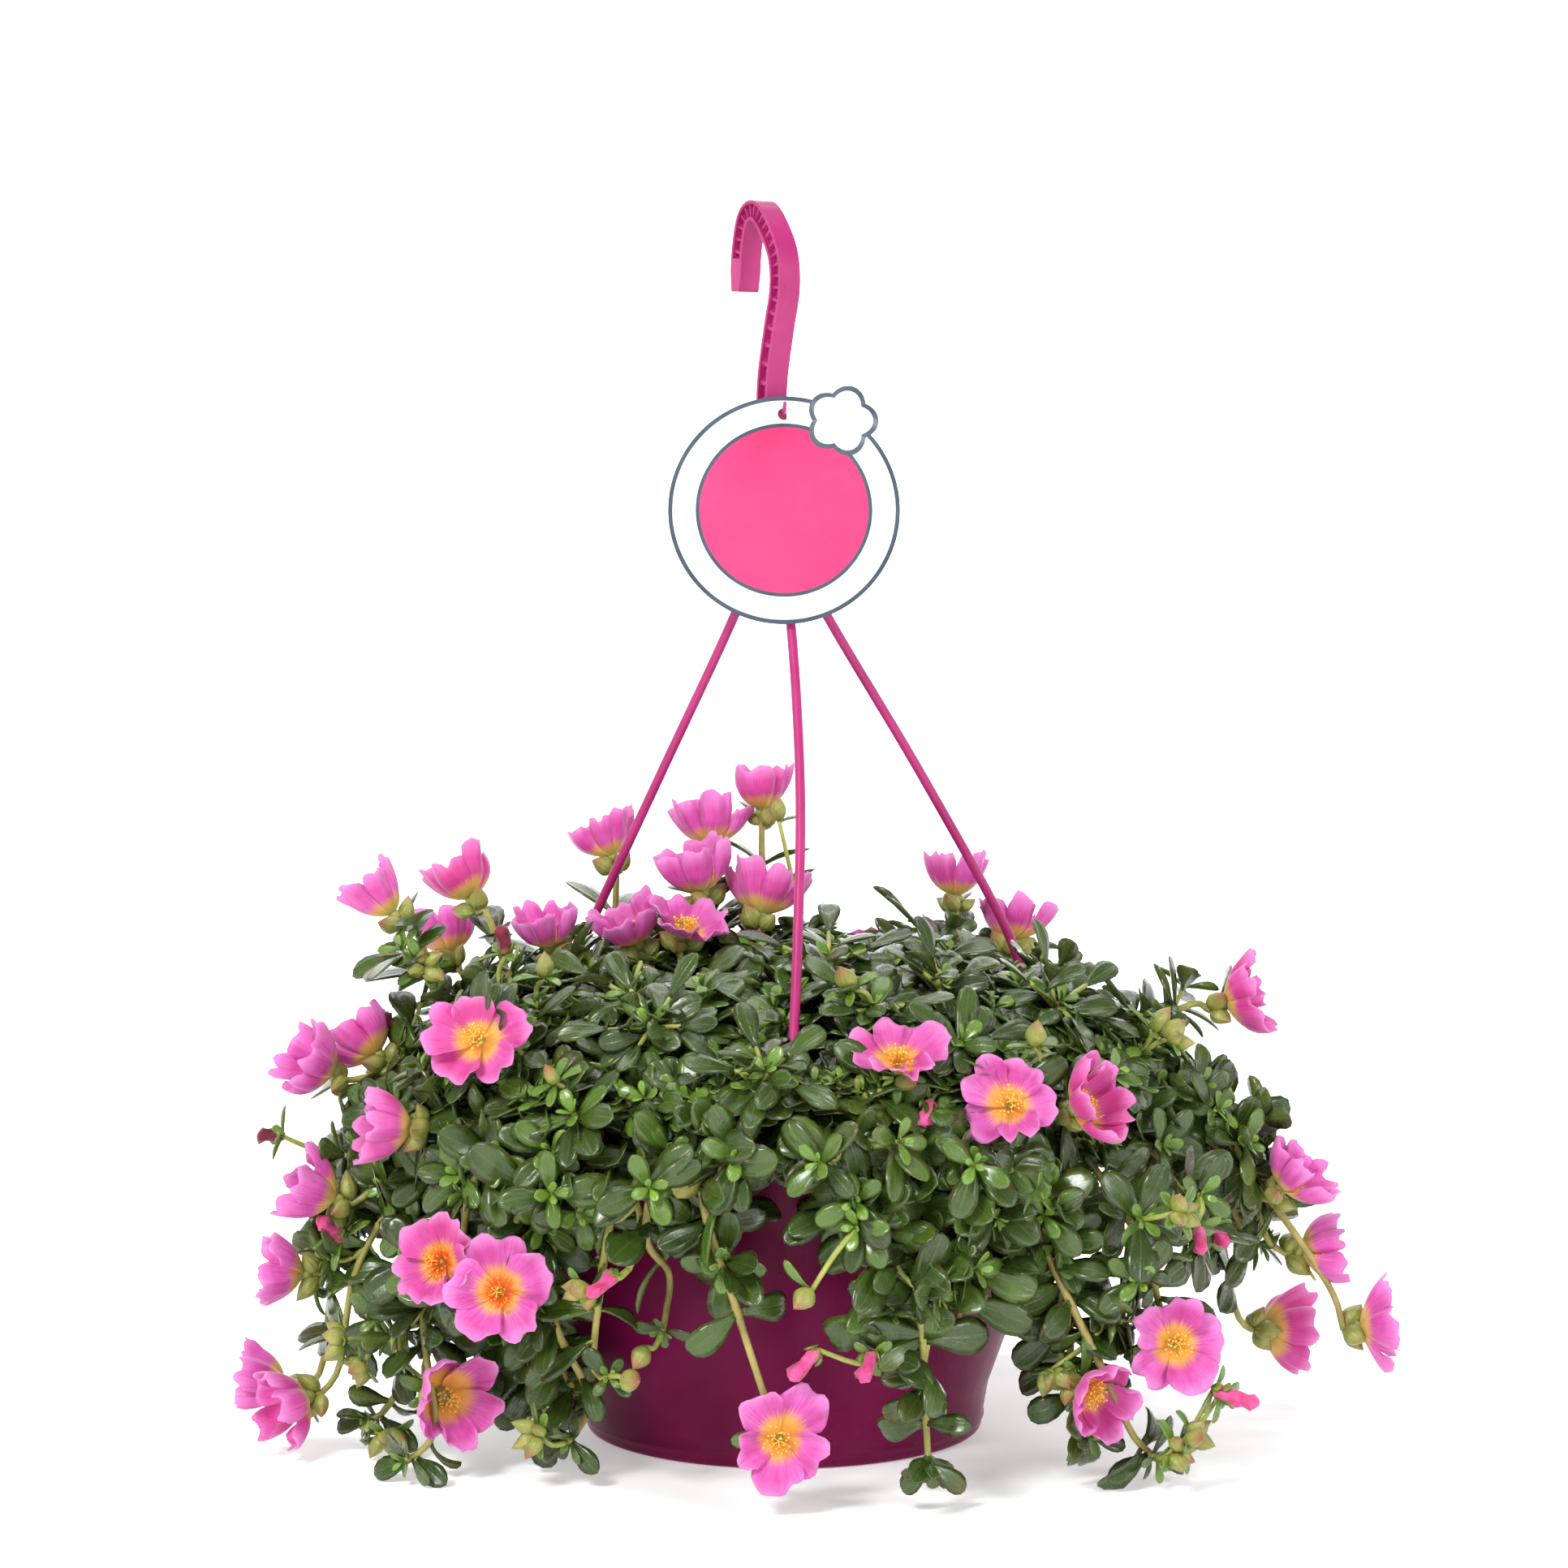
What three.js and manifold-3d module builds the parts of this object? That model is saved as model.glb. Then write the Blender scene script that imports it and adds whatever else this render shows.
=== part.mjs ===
// Potted portulaca: a hanging pot of berry-purple plastic with its three-armed hanger and round tag,
// overflowing with fleshy-leaved shoots and pink five-petalled blooms. Millimetres, +Z up.
// The origin is on the axis of the pot, on the surface that the pot stands on. -Y is the front.

import * as THREE from 'three';
import { mergeVertices } from 'three/addons/utils/BufferGeometryUtils.js';
import Module from 'manifold-3d';

const wasm = await Module();
wasm.setup();

// Driving dimensions of the pot
const POT_HEIGHT = 165;
const BASE_RADIUS = 89;
const RIM_RADIUS = 126.5;
const WALL = 2;
const FLOOR = 3;
const POT_SIDES = 24;
const SOIL_TOP = 150;
const GAP = 0.3;
const DRAIN_HOLES = 5;
const DRAIN_RADIUS = 4.5;
const DRAIN_RING = 58;

// Driving dimensions of the hanger and the tag
const HUB = new THREE.Vector3(-4, 0, 404);
const HUB_RADIUS = 9;
const HUB_HEIGHT = 10;
const STRAP_WIDTH = 10.5;
const STRAP_DEPTH = 9;
const STRAP_FLANGE = 1.6;
const STRAP_WEB = 4;
const HOOK_TURN = 122;
const ARM_RADIUS = 2.2;
const ARM_TURNS = { front: -88.5, right: 27, left: 150 };
const TAG_RADIUS = 51;
const TAG_THICK = 0.8;
const TAG_CENTRE = new THREE.Vector3(0, -17.4, 411);
const TAG_LEAN = 12;
const TAG_HOLE_RADIUS = 2.7;
const TAG_HOLE_RISE = 43;

// Driving dimensions of the plant
const SECTORS = 12;
const SECTOR_TURN = 360 / SECTORS;
const SECTOR_START = 12;
const ROOT_RING = 62;
const ROOT_RADIUS = 4;
const ROOT_END = 132;
const STEM_RADIUS = 1.8;
const STEM_BAND = 2.8;
const LEAF_LENGTH = 31;
const LEAF_WIDTH = 15;
const ROSETTE_SCALE = 1.35;
const LEAF_THICK = 1.9;
const CROTCH_REACH = 1.8;
const CUSHION_GAP = 0.35;
const PAIRS_FROM = 0.3;
const ROSETTE_RISE = 12;
const LEAF_SIZES = [1, 0.8, 0.62];
const PROBE_SWELL = 0.5;
const BLOOM_RADIUS = 24;
const PETAL_THICK = 0.9;
const ROSETTES = 34;
const RIM_SHOOTS = 12;
const SEED = 41;

const COLOURS = {
  pot: new THREE.MeshStandardMaterial({ color: 0x5c0d36, roughness: 0.28, metalness: 0 }),
  soil: new THREE.MeshStandardMaterial({ color: 0x2c2018, roughness: 0.95, metalness: 0 }),
  hanger: new THREE.MeshStandardMaterial({ color: 0xc93a82, roughness: 0.42, metalness: 0 }),
  tag: new THREE.MeshStandardMaterial({ color: 0xf3f1f2, roughness: 0.5, metalness: 0 }),
  leaves: new THREE.MeshStandardMaterial({ color: 0x3f6b35, roughness: 0.35, metalness: 0 }),
  petals: new THREE.MeshStandardMaterial({ color: 0xf068b8, roughness: 0.6, metalness: 0 }),
};

// A seeded draw between 0 and 1
function seededDraw(seed) {
  let state = seed * 7919;
  return () => {
    state = (state * 16807) % 2147483647;
    return state / 2147483647;
  };
}

function radians(degrees) {
  return THREE.MathUtils.degToRad(degrees);
}

// A point by its turn about the pot's axis, its reach from it and its height
function polar(turn, reach, height) {
  return new THREE.Vector3(reach * Math.cos(radians(turn)), reach * Math.sin(radians(turn)), height);
}

// A direction by its turn about the vertical and its lift above level
function heading(turn, lift) {
  const level = Math.cos(radians(lift));
  return polar(turn, level, Math.sin(radians(lift)));
}

// Solids and meshes

function closedSolid(vertices, faces) {
  let volume = 0;
  const [a, b, c] = [new THREE.Vector3(), new THREE.Vector3(), new THREE.Vector3()];
  for (const face of faces) {
    a.fromArray(vertices, 3 * face[0]);
    b.fromArray(vertices, 3 * face[1]);
    c.fromArray(vertices, 3 * face[2]);
    volume += a.dot(b.cross(c));
  }
  const outward = volume > 0 ? faces : faces.map(([i, j, k]) => [i, k, j]);
  return new wasm.Manifold(new wasm.Mesh({
    numProp: 3,
    vertProperties: Float32Array.from(vertices),
    triVerts: Uint32Array.from(outward.flat()),
  }));
}

function solidOf(geometry) {
  const bare = geometry.clone();
  bare.deleteAttribute('normal');
  bare.deleteAttribute('uv');
  const merged = mergeVertices(bare, 1e-3);
  const index = merged.getIndex();
  const faces = [];
  for (let i = 0; i < index.count; i += 3) {
    const face = [index.getX(i), index.getX(i + 1), index.getX(i + 2)];
    if (new Set(face).size === 3) {
      faces.push(face);
    }
  }
  return closedSolid(merged.getAttribute('position').array, faces);
}

function geometryOf(solid) {
  const { vertProperties, triVerts } = solid.getMesh();
  const geometry = new THREE.BufferGeometry();
  geometry.setAttribute('position', new THREE.BufferAttribute(vertProperties, 3));
  geometry.setIndex(new THREE.BufferAttribute(triVerts, 1));
  geometry.computeVertexNormals();
  return geometry;
}

function named(name, solid, material) {
  const mesh = new THREE.Mesh(geometryOf(solid), material);
  mesh.name = name;
  return mesh;
}

function largestBody(solid) {
  return solid.decompose().reduce((best, body) => (body.volume() > best.volume() ? body : best));
}

// Fusing can leave a loose scrap or seal a hollow: the outer skin of the largest body is the piece.
// Merging its vertices can part it once more where it hardly holds together.
function oneBody(solid) {
  return largestBody(solidOf(geometryOf(largestBody(solid))));
}

function joined(solids) {
  return solids.reduce((sum, solid) => sum.add(solid));
}

// Turned solid from a profile of [radius, height] points that starts and ends on the axis
function turned(profile, sides) {
  const points = profile.map(([radius, height]) => new THREE.Vector2(radius, height));
  return solidOf(new THREE.LatheGeometry(points, sides).rotateX(Math.PI / 2));
}

// Tube along a smooth curve
function tube(curve, radius, sides, steps) {
  const section = new THREE.Shape();
  for (let i = 0; i < sides; i += 1) {
    const angle = (2 * Math.PI * i) / sides;
    const point = [radius * Math.cos(angle), radius * Math.sin(angle)];
    if (i === 0) {
      section.moveTo(...point);
    } else {
      section.lineTo(...point);
    }
  }
  section.closePath();
  return solidOf(new THREE.ExtrudeGeometry(section, { steps, extrudePath: curve, bevelEnabled: false }));
}

function smooth(points) {
  return new THREE.CatmullRomCurve3(points, false, 'catmullrom', 0.5);
}

// Block between two corners, turned about the pot's axis
function block(low, high, turn) {
  const size = new THREE.Vector3().subVectors(high, low);
  const centre = new THREE.Vector3().addVectors(low, high).multiplyScalar(0.5);
  const box = new THREE.BoxGeometry(size.x, size.y, size.z).translate(centre.x, centre.y, centre.z);
  return solidOf(box.rotateZ(radians(turn)));
}

// Upright cylinder
function post(radius, sides, x, y, low, high) {
  const cylinder = new THREE.CylinderGeometry(radius, radius, high - low, sides).rotateX(Math.PI / 2);
  return solidOf(cylinder.translate(x, y, (low + high) / 2));
}

// What already stands, by its node and its piece there, so that nothing new crosses another node

const standing = [];

function boxesMeet(a, b) {
  return [0, 1, 2].every((k) => a.min[k] < b.max[k] && b.min[k] < a.max[k]);
}

function stand(node, solid, piece = null) {
  standing.push({ node, piece, solid, box: solid.boundingBox() });
}

// Whether a probe crosses another node or, where the pieces it may cross are given, the rest of its own
function crosses(node, probe, allowed = null) {
  const box = probe.boundingBox();
  return standing.some((other) => (other.node !== node || (allowed && !allowed.includes(other.piece)))
    && boxesMeet(box, other.box) && !probe.intersect(other.solid).isEmpty());
}

// The pot: a steep foot, a flared wall and a rolled rim

const POT_WALL_LINE = [
  [BASE_RADIUS, 3],
  [92, 21],
  [105, 57],
  [122, 152],
];

function makePot() {
  const inner = POT_WALL_LINE.slice(1).reverse().map(([radius, height]) => [radius - WALL, height]);
  const shell = turned([
    [0, 0],
    [BASE_RADIUS - 1.6, 0],
    ...POT_WALL_LINE,
    [RIM_RADIUS - 0.6, 156],
    [RIM_RADIUS, 161],
    [RIM_RADIUS - 2.4, POT_HEIGHT],
    [RIM_RADIUS - 5, POT_HEIGHT],
    ...inner,
    [BASE_RADIUS - WALL, FLOOR],
    [0, FLOOR],
  ], POT_SIDES);
  let pot = shell;
  for (let i = 0; i < DRAIN_HOLES; i += 1) {
    const { x, y } = polar((360 * i) / DRAIN_HOLES + 36, DRAIN_RING, 0);
    pot = pot.subtract(post(DRAIN_RADIUS, 6, x, y, -1, FLOOR + 1));
  }
  stand('pot', pot);
  return named('pot', pot, COLOURS.pot);
}

function sectorTurn(index) {
  return SECTOR_START + SECTOR_TURN * (index + 0.5);
}

// The potting soil fills the pot and has one plain hole for the rootstock of each sector of the plant
function makeSoil() {
  const fit = WALL + 0.5;
  const side = POT_WALL_LINE.slice(1, -1).map(([radius, height]) => [radius - fit, height]);
  const topRadius = 122 - fit - 0.3;
  let soil = turned([
    [0, FLOOR + GAP],
    [BASE_RADIUS - fit, FLOOR + GAP],
    ...side,
    [topRadius, SOIL_TOP - 1],
    [topRadius - 3, SOIL_TOP],
    [0, SOIL_TOP],
  ], POT_SIDES);
  for (let i = 0; i < SECTORS; i += 1) {
    const { x, y } = polar(sectorTurn(i), ROOT_RING, 0);
    soil = soil.subtract(post(ROOT_RADIUS + 1.4, 6, x, y, ROOT_END - 2, SOIL_TOP + 1));
  }
  stand('soil', soil);
  return named('soil', soil, COLOURS.soil);
}

// The hanger: a strap of channel section bent into a hook, on a hub that carries three arms

function strapOutline(curve, depth, from, to, steps) {
  const left = [];
  const right = [];
  for (let i = 0; i <= steps; i += 1) {
    const t = from + ((to - from) * i) / steps;
    const point = curve.getPoint(t);
    const along = curve.getTangent(t);
    const across = new THREE.Vector2(-along.y, along.x).multiplyScalar(depth / 2);
    left.push(point.clone().add(across));
    right.push(point.clone().sub(across));
  }
  return new THREE.Shape([...left, ...right.reverse()]);
}

function makeHook() {
  // The centre line in the hook's own plane: reach towards the short leg, and height
  const line = new THREE.SplineCurve([
    new THREE.Vector2(0, 408),
    new THREE.Vector2(1, 440),
    new THREE.Vector2(0, 466),
    new THREE.Vector2(-6, 490),
    new THREE.Vector2(-10.5, 510),
    new THREE.Vector2(-8, 529),
    new THREE.Vector2(5, 544),
    new THREE.Vector2(17, 540),
    new THREE.Vector2(22.5, 526),
    new THREE.Vector2(25, 508),
  ]);
  const reach = heading(HOOK_TURN, 0);
  const up = new THREE.Vector3(0, 0, 1);
  const across = new THREE.Vector3().crossVectors(reach, up);
  const place = new THREE.Matrix4().makeBasis(reach, up, across).setPosition(HUB.x, HUB.y, 0);
  const extruded = (shape, from, to) => {
    const body = new THREE.ExtrudeGeometry(shape, { depth: to - from, bevelEnabled: false });
    return solidOf(body.translate(0, 0, from).applyMatrix4(place));
  };
  const half = STRAP_WIDTH / 2;
  const band = strapOutline(line, STRAP_DEPTH, 0, 1, 12);
  const recess = strapOutline(line, STRAP_DEPTH - 2 * STRAP_FLANGE, 1 / 12, 11 / 12, 10);
  const strap = extruded(band, -half, half)
    .subtract(extruded(recess, STRAP_WEB / 2, half + 1))
    .subtract(extruded(recess, -half - 1, -STRAP_WEB / 2));
  const hubBody = new THREE.CylinderGeometry(HUB_RADIUS - 2, HUB_RADIUS, HUB_HEIGHT, 12).rotateX(Math.PI / 2);
  const hub = solidOf(hubBody.translate(HUB.x, HUB.y, HUB.z + HUB_HEIGHT / 2));
  // The peg that carries the tag: out of the strap's front, through the tag's hole, then up
  const hole = tagPoint(0, TAG_HOLE_RISE);
  const pegHeight = hole.z + TAG_HOLE_RADIUS - 1.4;
  const peg = tube(smooth([
    new THREE.Vector3(HUB.x + 1, -2, pegHeight),
    new THREE.Vector3(hole.x, hole.y + 2, pegHeight),
    new THREE.Vector3(hole.x, hole.y - 2.4, pegHeight),
    new THREE.Vector3(hole.x + 0.5, hole.y - 3.6, pegHeight + 4),
  ]), 1, 6, 6);
  const hook = oneBody(joined([strap, hub, peg]));
  stand('hanger_hook', hook);
  return named('hanger_hook', hook, COLOURS.hanger);
}

// A point on the tag's middle plane: x across, rise up its face from its centre
function tagPoint(x, rise) {
  const lean = radians(TAG_LEAN);
  return new THREE.Vector3(x, rise * Math.sin(lean), rise * Math.cos(lean)).add(TAG_CENTRE);
}

function makeTag() {
  const circle = (radius, rise, sides) => Array.from({ length: sides }, (_, i) => {
    const angle = (2 * Math.PI * i) / sides;
    return new THREE.Vector2(radius * Math.cos(angle), rise + radius * Math.sin(angle));
  });
  const face = new THREE.Shape(circle(TAG_RADIUS, 0, 36));
  face.holes.push(new THREE.Path(circle(TAG_HOLE_RADIUS, TAG_HOLE_RISE, 8)));
  const thick = { depth: TAG_THICK, bevelEnabled: false };
  const disc = new THREE.ExtrudeGeometry(face, thick);
  // A plain five-lobed badge stands over the edge at the upper right
  const lobes = 5;
  const badgeRadius = 13;
  const badgeWave = 3.2;
  const points = [];
  for (let i = 0; i < 4 * lobes; i += 1) {
    const angle = (2 * Math.PI * i) / (4 * lobes);
    const radius = badgeRadius + badgeWave * Math.abs(Math.cos((lobes * angle) / 2));
    points.push(new THREE.Vector2(25.5 + radius * Math.cos(angle), 40 + radius * Math.sin(angle)));
  }
  const badge = new THREE.ExtrudeGeometry(new THREE.Shape(points), thick);
  const place = new THREE.Matrix4().makeRotationX(radians(90 - TAG_LEAN)).setPosition(TAG_CENTRE);
  const card = [disc, badge].map((body) => solidOf(body.translate(0, 0, -TAG_THICK / 2).applyMatrix4(place)));
  return named('tag', joined(card), COLOURS.tag);
}

// Each arm runs straight from under the hub, bows a little and ends in a clip over the pot's rim
const ARM_BENDS = {
  front: [[3, -22, 361], [7, -62, 290], [5.5, -98, 222]],
  right: [[19, 10, 364], [64, 28, 288], [104, 47, 214]],
  left: [[-22, 12, 364], [-56, 31, 291], [-90, 50, 218]],
};

function armCurve(side) {
  const turn = ARM_TURNS[side];
  const start = polar(turn, 4.5, HUB.z - 1.7).add(new THREE.Vector3(HUB.x, HUB.y, 0));
  const bends = ARM_BENDS[side].map((place) => new THREE.Vector3(...place));
  return smooth([start, ...bends, polar(turn, 125, 178), polar(turn, 126, 167.5)]);
}

function clipBlocks(turn, extra) {
  const body = block(
    new THREE.Vector3(116.8 - extra, -4.5 - extra, 155 - extra),
    new THREE.Vector3(130.5 + extra, 4.5 + extra, 169.5 + extra),
    turn,
  );
  const slot = block(new THREE.Vector3(118.6, -10, 150), new THREE.Vector3(127.3, 10, 165.5), turn);
  return { body, slot };
}

function makeArm(side) {
  const { body, slot } = clipBlocks(ARM_TURNS[side], 0);
  const rod = tube(armCurve(side), ARM_RADIUS, 6, 10);
  const arm = oneBody(rod.add(body.subtract(slot)));
  stand(`hanger_arm_${side}`, arm);
  return named(`hanger_arm_${side}`, arm, COLOURS.hanger);
}

// The corners of a fleshy leaf that grows at a point: widest past its middle, blunt at its tip, with
// sharp edges and a keel below. Right is the side that comes first in a turn about the stem.
function leafCorners(centre, { out, up, length, width, bend }, swell = 0) {
  const side = new THREE.Vector3().crossVectors(out, up).normalize();
  const over = new THREE.Vector3().crossVectors(side, out).normalize();
  const half = width / 2 + swell;
  const at = (share, across, rise) => centre.clone()
    .addScaledVector(out, (length + swell) * share)
    .addScaledVector(side, across)
    .addScaledVector(over, rise - bend * length * share * share);
  return [
    at(0.64, half, swell + half * 0.15),
    at(1, width * 0.24 + swell, swell),
    at(1, -width * 0.24 - swell, swell),
    at(0.64, -half, swell + half * 0.15),
    at(0.58, 0, -LEAF_THICK - swell),
  ];
}

// The keel's fan, which closes a leaf below along the loop of its outline and its root
function keelFaces(keel, loop) {
  return loop.map((corner, step) => [keel, corner, loop[(step + 1) % loop.length]]);
}

// The faces of a leaf between the four corners of its root and its own five
function leafFaces([lowRight, lowLeft, highLeft, highRight], [wideRight, tipRight, tipLeft, wideLeft, keel]) {
  return [
    [highLeft, highRight, wideRight],
    [highLeft, wideRight, wideLeft],
    [wideRight, tipRight, tipLeft],
    [wideRight, tipLeft, wideLeft],
    ...keelFaces(keel, [lowRight, lowLeft, highLeft, wideLeft, tipLeft, tipRight, wideRight, highRight]),
  ];
}

// One leaf by itself, with a root as wide and high as its band of the stem
function leafSolid(centre, leaf, swell = 0) {
  const side = new THREE.Vector3().crossVectors(leaf.out, leaf.up).normalize();
  const root = (across, height) => centre.clone()
    .addScaledVector(side, across * (STEM_RADIUS + swell))
    .addScaledVector(leaf.up, height);
  const high = STEM_BAND + swell;
  const corners = [
    root(1, -swell), root(-1, -swell), root(-1, high), root(1, high), ...leafCorners(centre, leaf, swell),
  ];
  const faces = [[0, 3, 2], [0, 2, 1], ...leafFaces([0, 1, 2, 3], [4, 5, 6, 7, 8])];
  return closedSolid(corners.flatMap((corner) => corner.toArray()), faces);
}

// A rosette of leaves as one closed sheet. Its foot is a point that sinks into what it grows from.
function rosetteSolid(centre, axis, leaves, footDepth, swell = 0) {
  const forward = axis.clone().normalize();
  const corners = [
    centre.clone().addScaledVector(forward, 1 + swell),
    centre.clone().addScaledVector(forward, -footDepth - swell),
  ];
  const count = leaves.length;
  for (const { after } of leaves) {
    corners.push(centre.clone().addScaledVector(after, CROTCH_REACH + swell));
  }
  const faces = [];
  leaves.forEach((leaf, index) => {
    const first = corners.length;
    corners.push(...leafCorners(centre, leaf, swell));
    const [wideRight, tipRight, tipLeft, wideLeft, keel] = [0, 1, 2, 3, 4].map((k) => first + k);
    const before = 2 + ((index + count - 1) % count);
    const after = 2 + index;
    faces.push([0, before, wideRight], [0, wideRight, wideLeft], [0, wideLeft, after]);
    faces.push([wideRight, tipRight, tipLeft], [wideRight, tipLeft, wideLeft]);
    faces.push(...keelFaces(keel, [1, after, wideLeft, tipLeft, tipRight, wideRight, before]));
  });
  return closedSolid(corners.flatMap((corner) => corner.toArray()), faces);
}

// The stations of a stem: its line's own points and, where leaves grow, one more a band's height on, or
// back from the tip. The frame is carried along without a twist; a leafy station starts a band.
function stationsOf(line, spin, leafyPoints = []) {
  const end = line.length - 1;
  const stations = [];
  line.forEach((point, index) => {
    const along = line[Math.min(index + 1, end)].clone().sub(line[Math.max(index - 1, 0)]).normalize();
    const leafy = leafyPoints.includes(index);
    if (index < end) {
      stations.push({ point, along, leafy: leafy ? index : null });
      if (leafy) {
        const step = line[index + 1].clone().sub(point).setLength(STEM_BAND);
        stations.push({ point: point.clone().add(step), along, leafy: null });
      }
      return;
    }
    if (leafy) {
      const step = line[end - 1].clone().sub(point).setLength(STEM_BAND);
      stations.push({ point: point.clone().add(step), along, leafy: index });
    }
    stations.push({ point, along, leafy: null });
  });
  const level = Math.abs(stations[0].along.z) > 0.9 ? new THREE.Vector3(1, 0, 0) : new THREE.Vector3(0, 0, 1);
  let right = new THREE.Vector3().crossVectors(level, stations[0].along).normalize()
    .applyAxisAngle(stations[0].along, radians(spin));
  for (const station of stations) {
    right = right.clone().addScaledVector(station.along, -right.dot(station.along)).normalize();
    station.right = right;
    station.other = new THREE.Vector3().crossVectors(station.along, right);
  }
  return stations;
}

function aroundStation({ right, other }, turn) {
  return right.clone().multiplyScalar(Math.cos(radians(turn)))
    .addScaledVector(other, Math.sin(radians(turn)));
}

// A three-sided stem with its leaves as one closed sheet. Each leaf takes the place of one face of a band.
function shootSolid(stations, leavesAt = {}, radius = STEM_RADIUS) {
  const corners = stations.flatMap((station) => [0, 120, 240].map((turn) => (
    station.point.clone().addScaledVector(aroundStation(station, turn), radius)
  )));
  const top = 3 * (stations.length - 1);
  const faces = [[2, 1, 0], [top, top + 1, top + 2]];
  for (let i = 0; i < stations.length - 1; i += 1) {
    const leaves = stations[i].leafy === null ? [] : leavesAt[stations[i].leafy] || [];
    for (let face = 0; face < 3; face += 1) {
      const [lowRight, lowLeft] = [3 * i + face, 3 * i + ((face + 1) % 3)];
      const [highRight, highLeft] = [lowRight + 3, lowLeft + 3];
      const leaf = leaves.find((one) => one.face === face);
      if (!leaf) {
        faces.push([lowRight, lowLeft, highLeft], [lowRight, highLeft, highRight]);
      } else {
        const first = corners.length;
        corners.push(...leafCorners(stations[i].point, leaf));
        const own = [0, 1, 2, 3, 4].map((k) => first + k);
        faces.push(...leafFaces([lowRight, lowLeft, highLeft, highRight], own));
      }
    }
  }
  return closedSolid(corners.flatMap((corner) => corner.toArray()), faces);
}

// Blooms: the place of the petals' foot, the way they face as turn and lift, and how far they open,
// from 0, a closed cup, to 1, spread flat. Blooms whose petals meet are one node.
const FRONT_BLOOMS = [
  [[[-10, 70, 272], [80, 78], 0.35]],
  [[[-33, 66, 256], [120, 75], 0.4]],
  [[[-37, 30, 238], [200, 72], 0.35]],
  [[[-10, 26, 228], [60, 70], 0.45]],
  [[[-45, 0, 221], [-60, 66], 0.6], [[-66, 8, 217], [200, 66], 0.4]],
  [[[-80, 76, 250], [150, 72], 0.35]],
  [[[-106, 18, 214], [220, 74], 0.45]],
  [[[-142, 20, 236], [150, 55], 0.35]],
  [[[-174, -10, 232], [170, 52], 0.3]],
  [[[-154, 62, 206], [130, 60], 0.35]],
  [[[-128, -112, 189], [-105, 24], 0.95]],
  [[[-181, -16, 170], [160, 38], 0.4], [[-199, -32, 164], [200, 30], 0.35]],
  [[[-159, -94, 150], [195, 8], 0.45]],
  [[[-195, -62, 113], [190, 18], 0.35]],
  [[[-212, -40, 76], [190, 5], 0.45]],
  [[[-143, -130, 98], [-118, 18], 0.9], [[-118, -142, 88], [-96, 12], 0.95]],
  [[[-222, -26, 24], [175, 10], 0.3]],
  [[[-208, -64, 26], [215, -8], 0.5]],
  [[[-146, -96, 34], [-60, -4], 0.5]],
  [[[-2, -160, 31], [-92, 2], 0.95]],
  [[[47, -136, 182], [-80, 52], 0.75]],
  [[[94, -130, 164], [-88, 26], 0.85], [[122, -120, 161], [-30, 30], 0.5]],
  [[[80, 70, 232], [90, 80], 0.35]],
  [[[106, 82, 210], [70, 70], 0.35]],
  [[[198, 0, 190], [-5, 22], 0.5]],
  [[[220, -30, 112], [-20, 45], 0.4]],
  [[[232, -8, 80], [0, 10], 0.4]],
  [[[221, 34, 36], [30, 0], 0.5]],
  [[[258, -12, 46], [-6, 6], 0.6]],
  [[[164, -122, 62], [-80, 12], 0.9]],
  [[[126, -134, 46], [-50, -20], 0.4]],
];

const BACK_BLOOMS = [
  [[[45, 118, 190], [75, 45], 0.7]],
  [[[-60, 135, 176], [110, 40], 0.8]],
  [[[140, 118, 150], [40, 25], 0.6]],
  [[[-150, 108, 132], [145, 20], 0.6]],
  [[[20, 176, 96], [88, 15], 0.9]],
  [[[120, 160, 58], [55, 10], 0.6]],
  [[[-95, 168, 60], [118, 8], 0.8]],
];

// Half of a petal's edge after the other, as turn from its middle and share of the radius
const NOTCHED_RIM = [[-36, 0.7], [-17, 0.98], [1, 0.9], [19, 1]];
const BLUNT_RIM = [[-36, 0.7], [-16, 0.98], [16, 1]];

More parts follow.
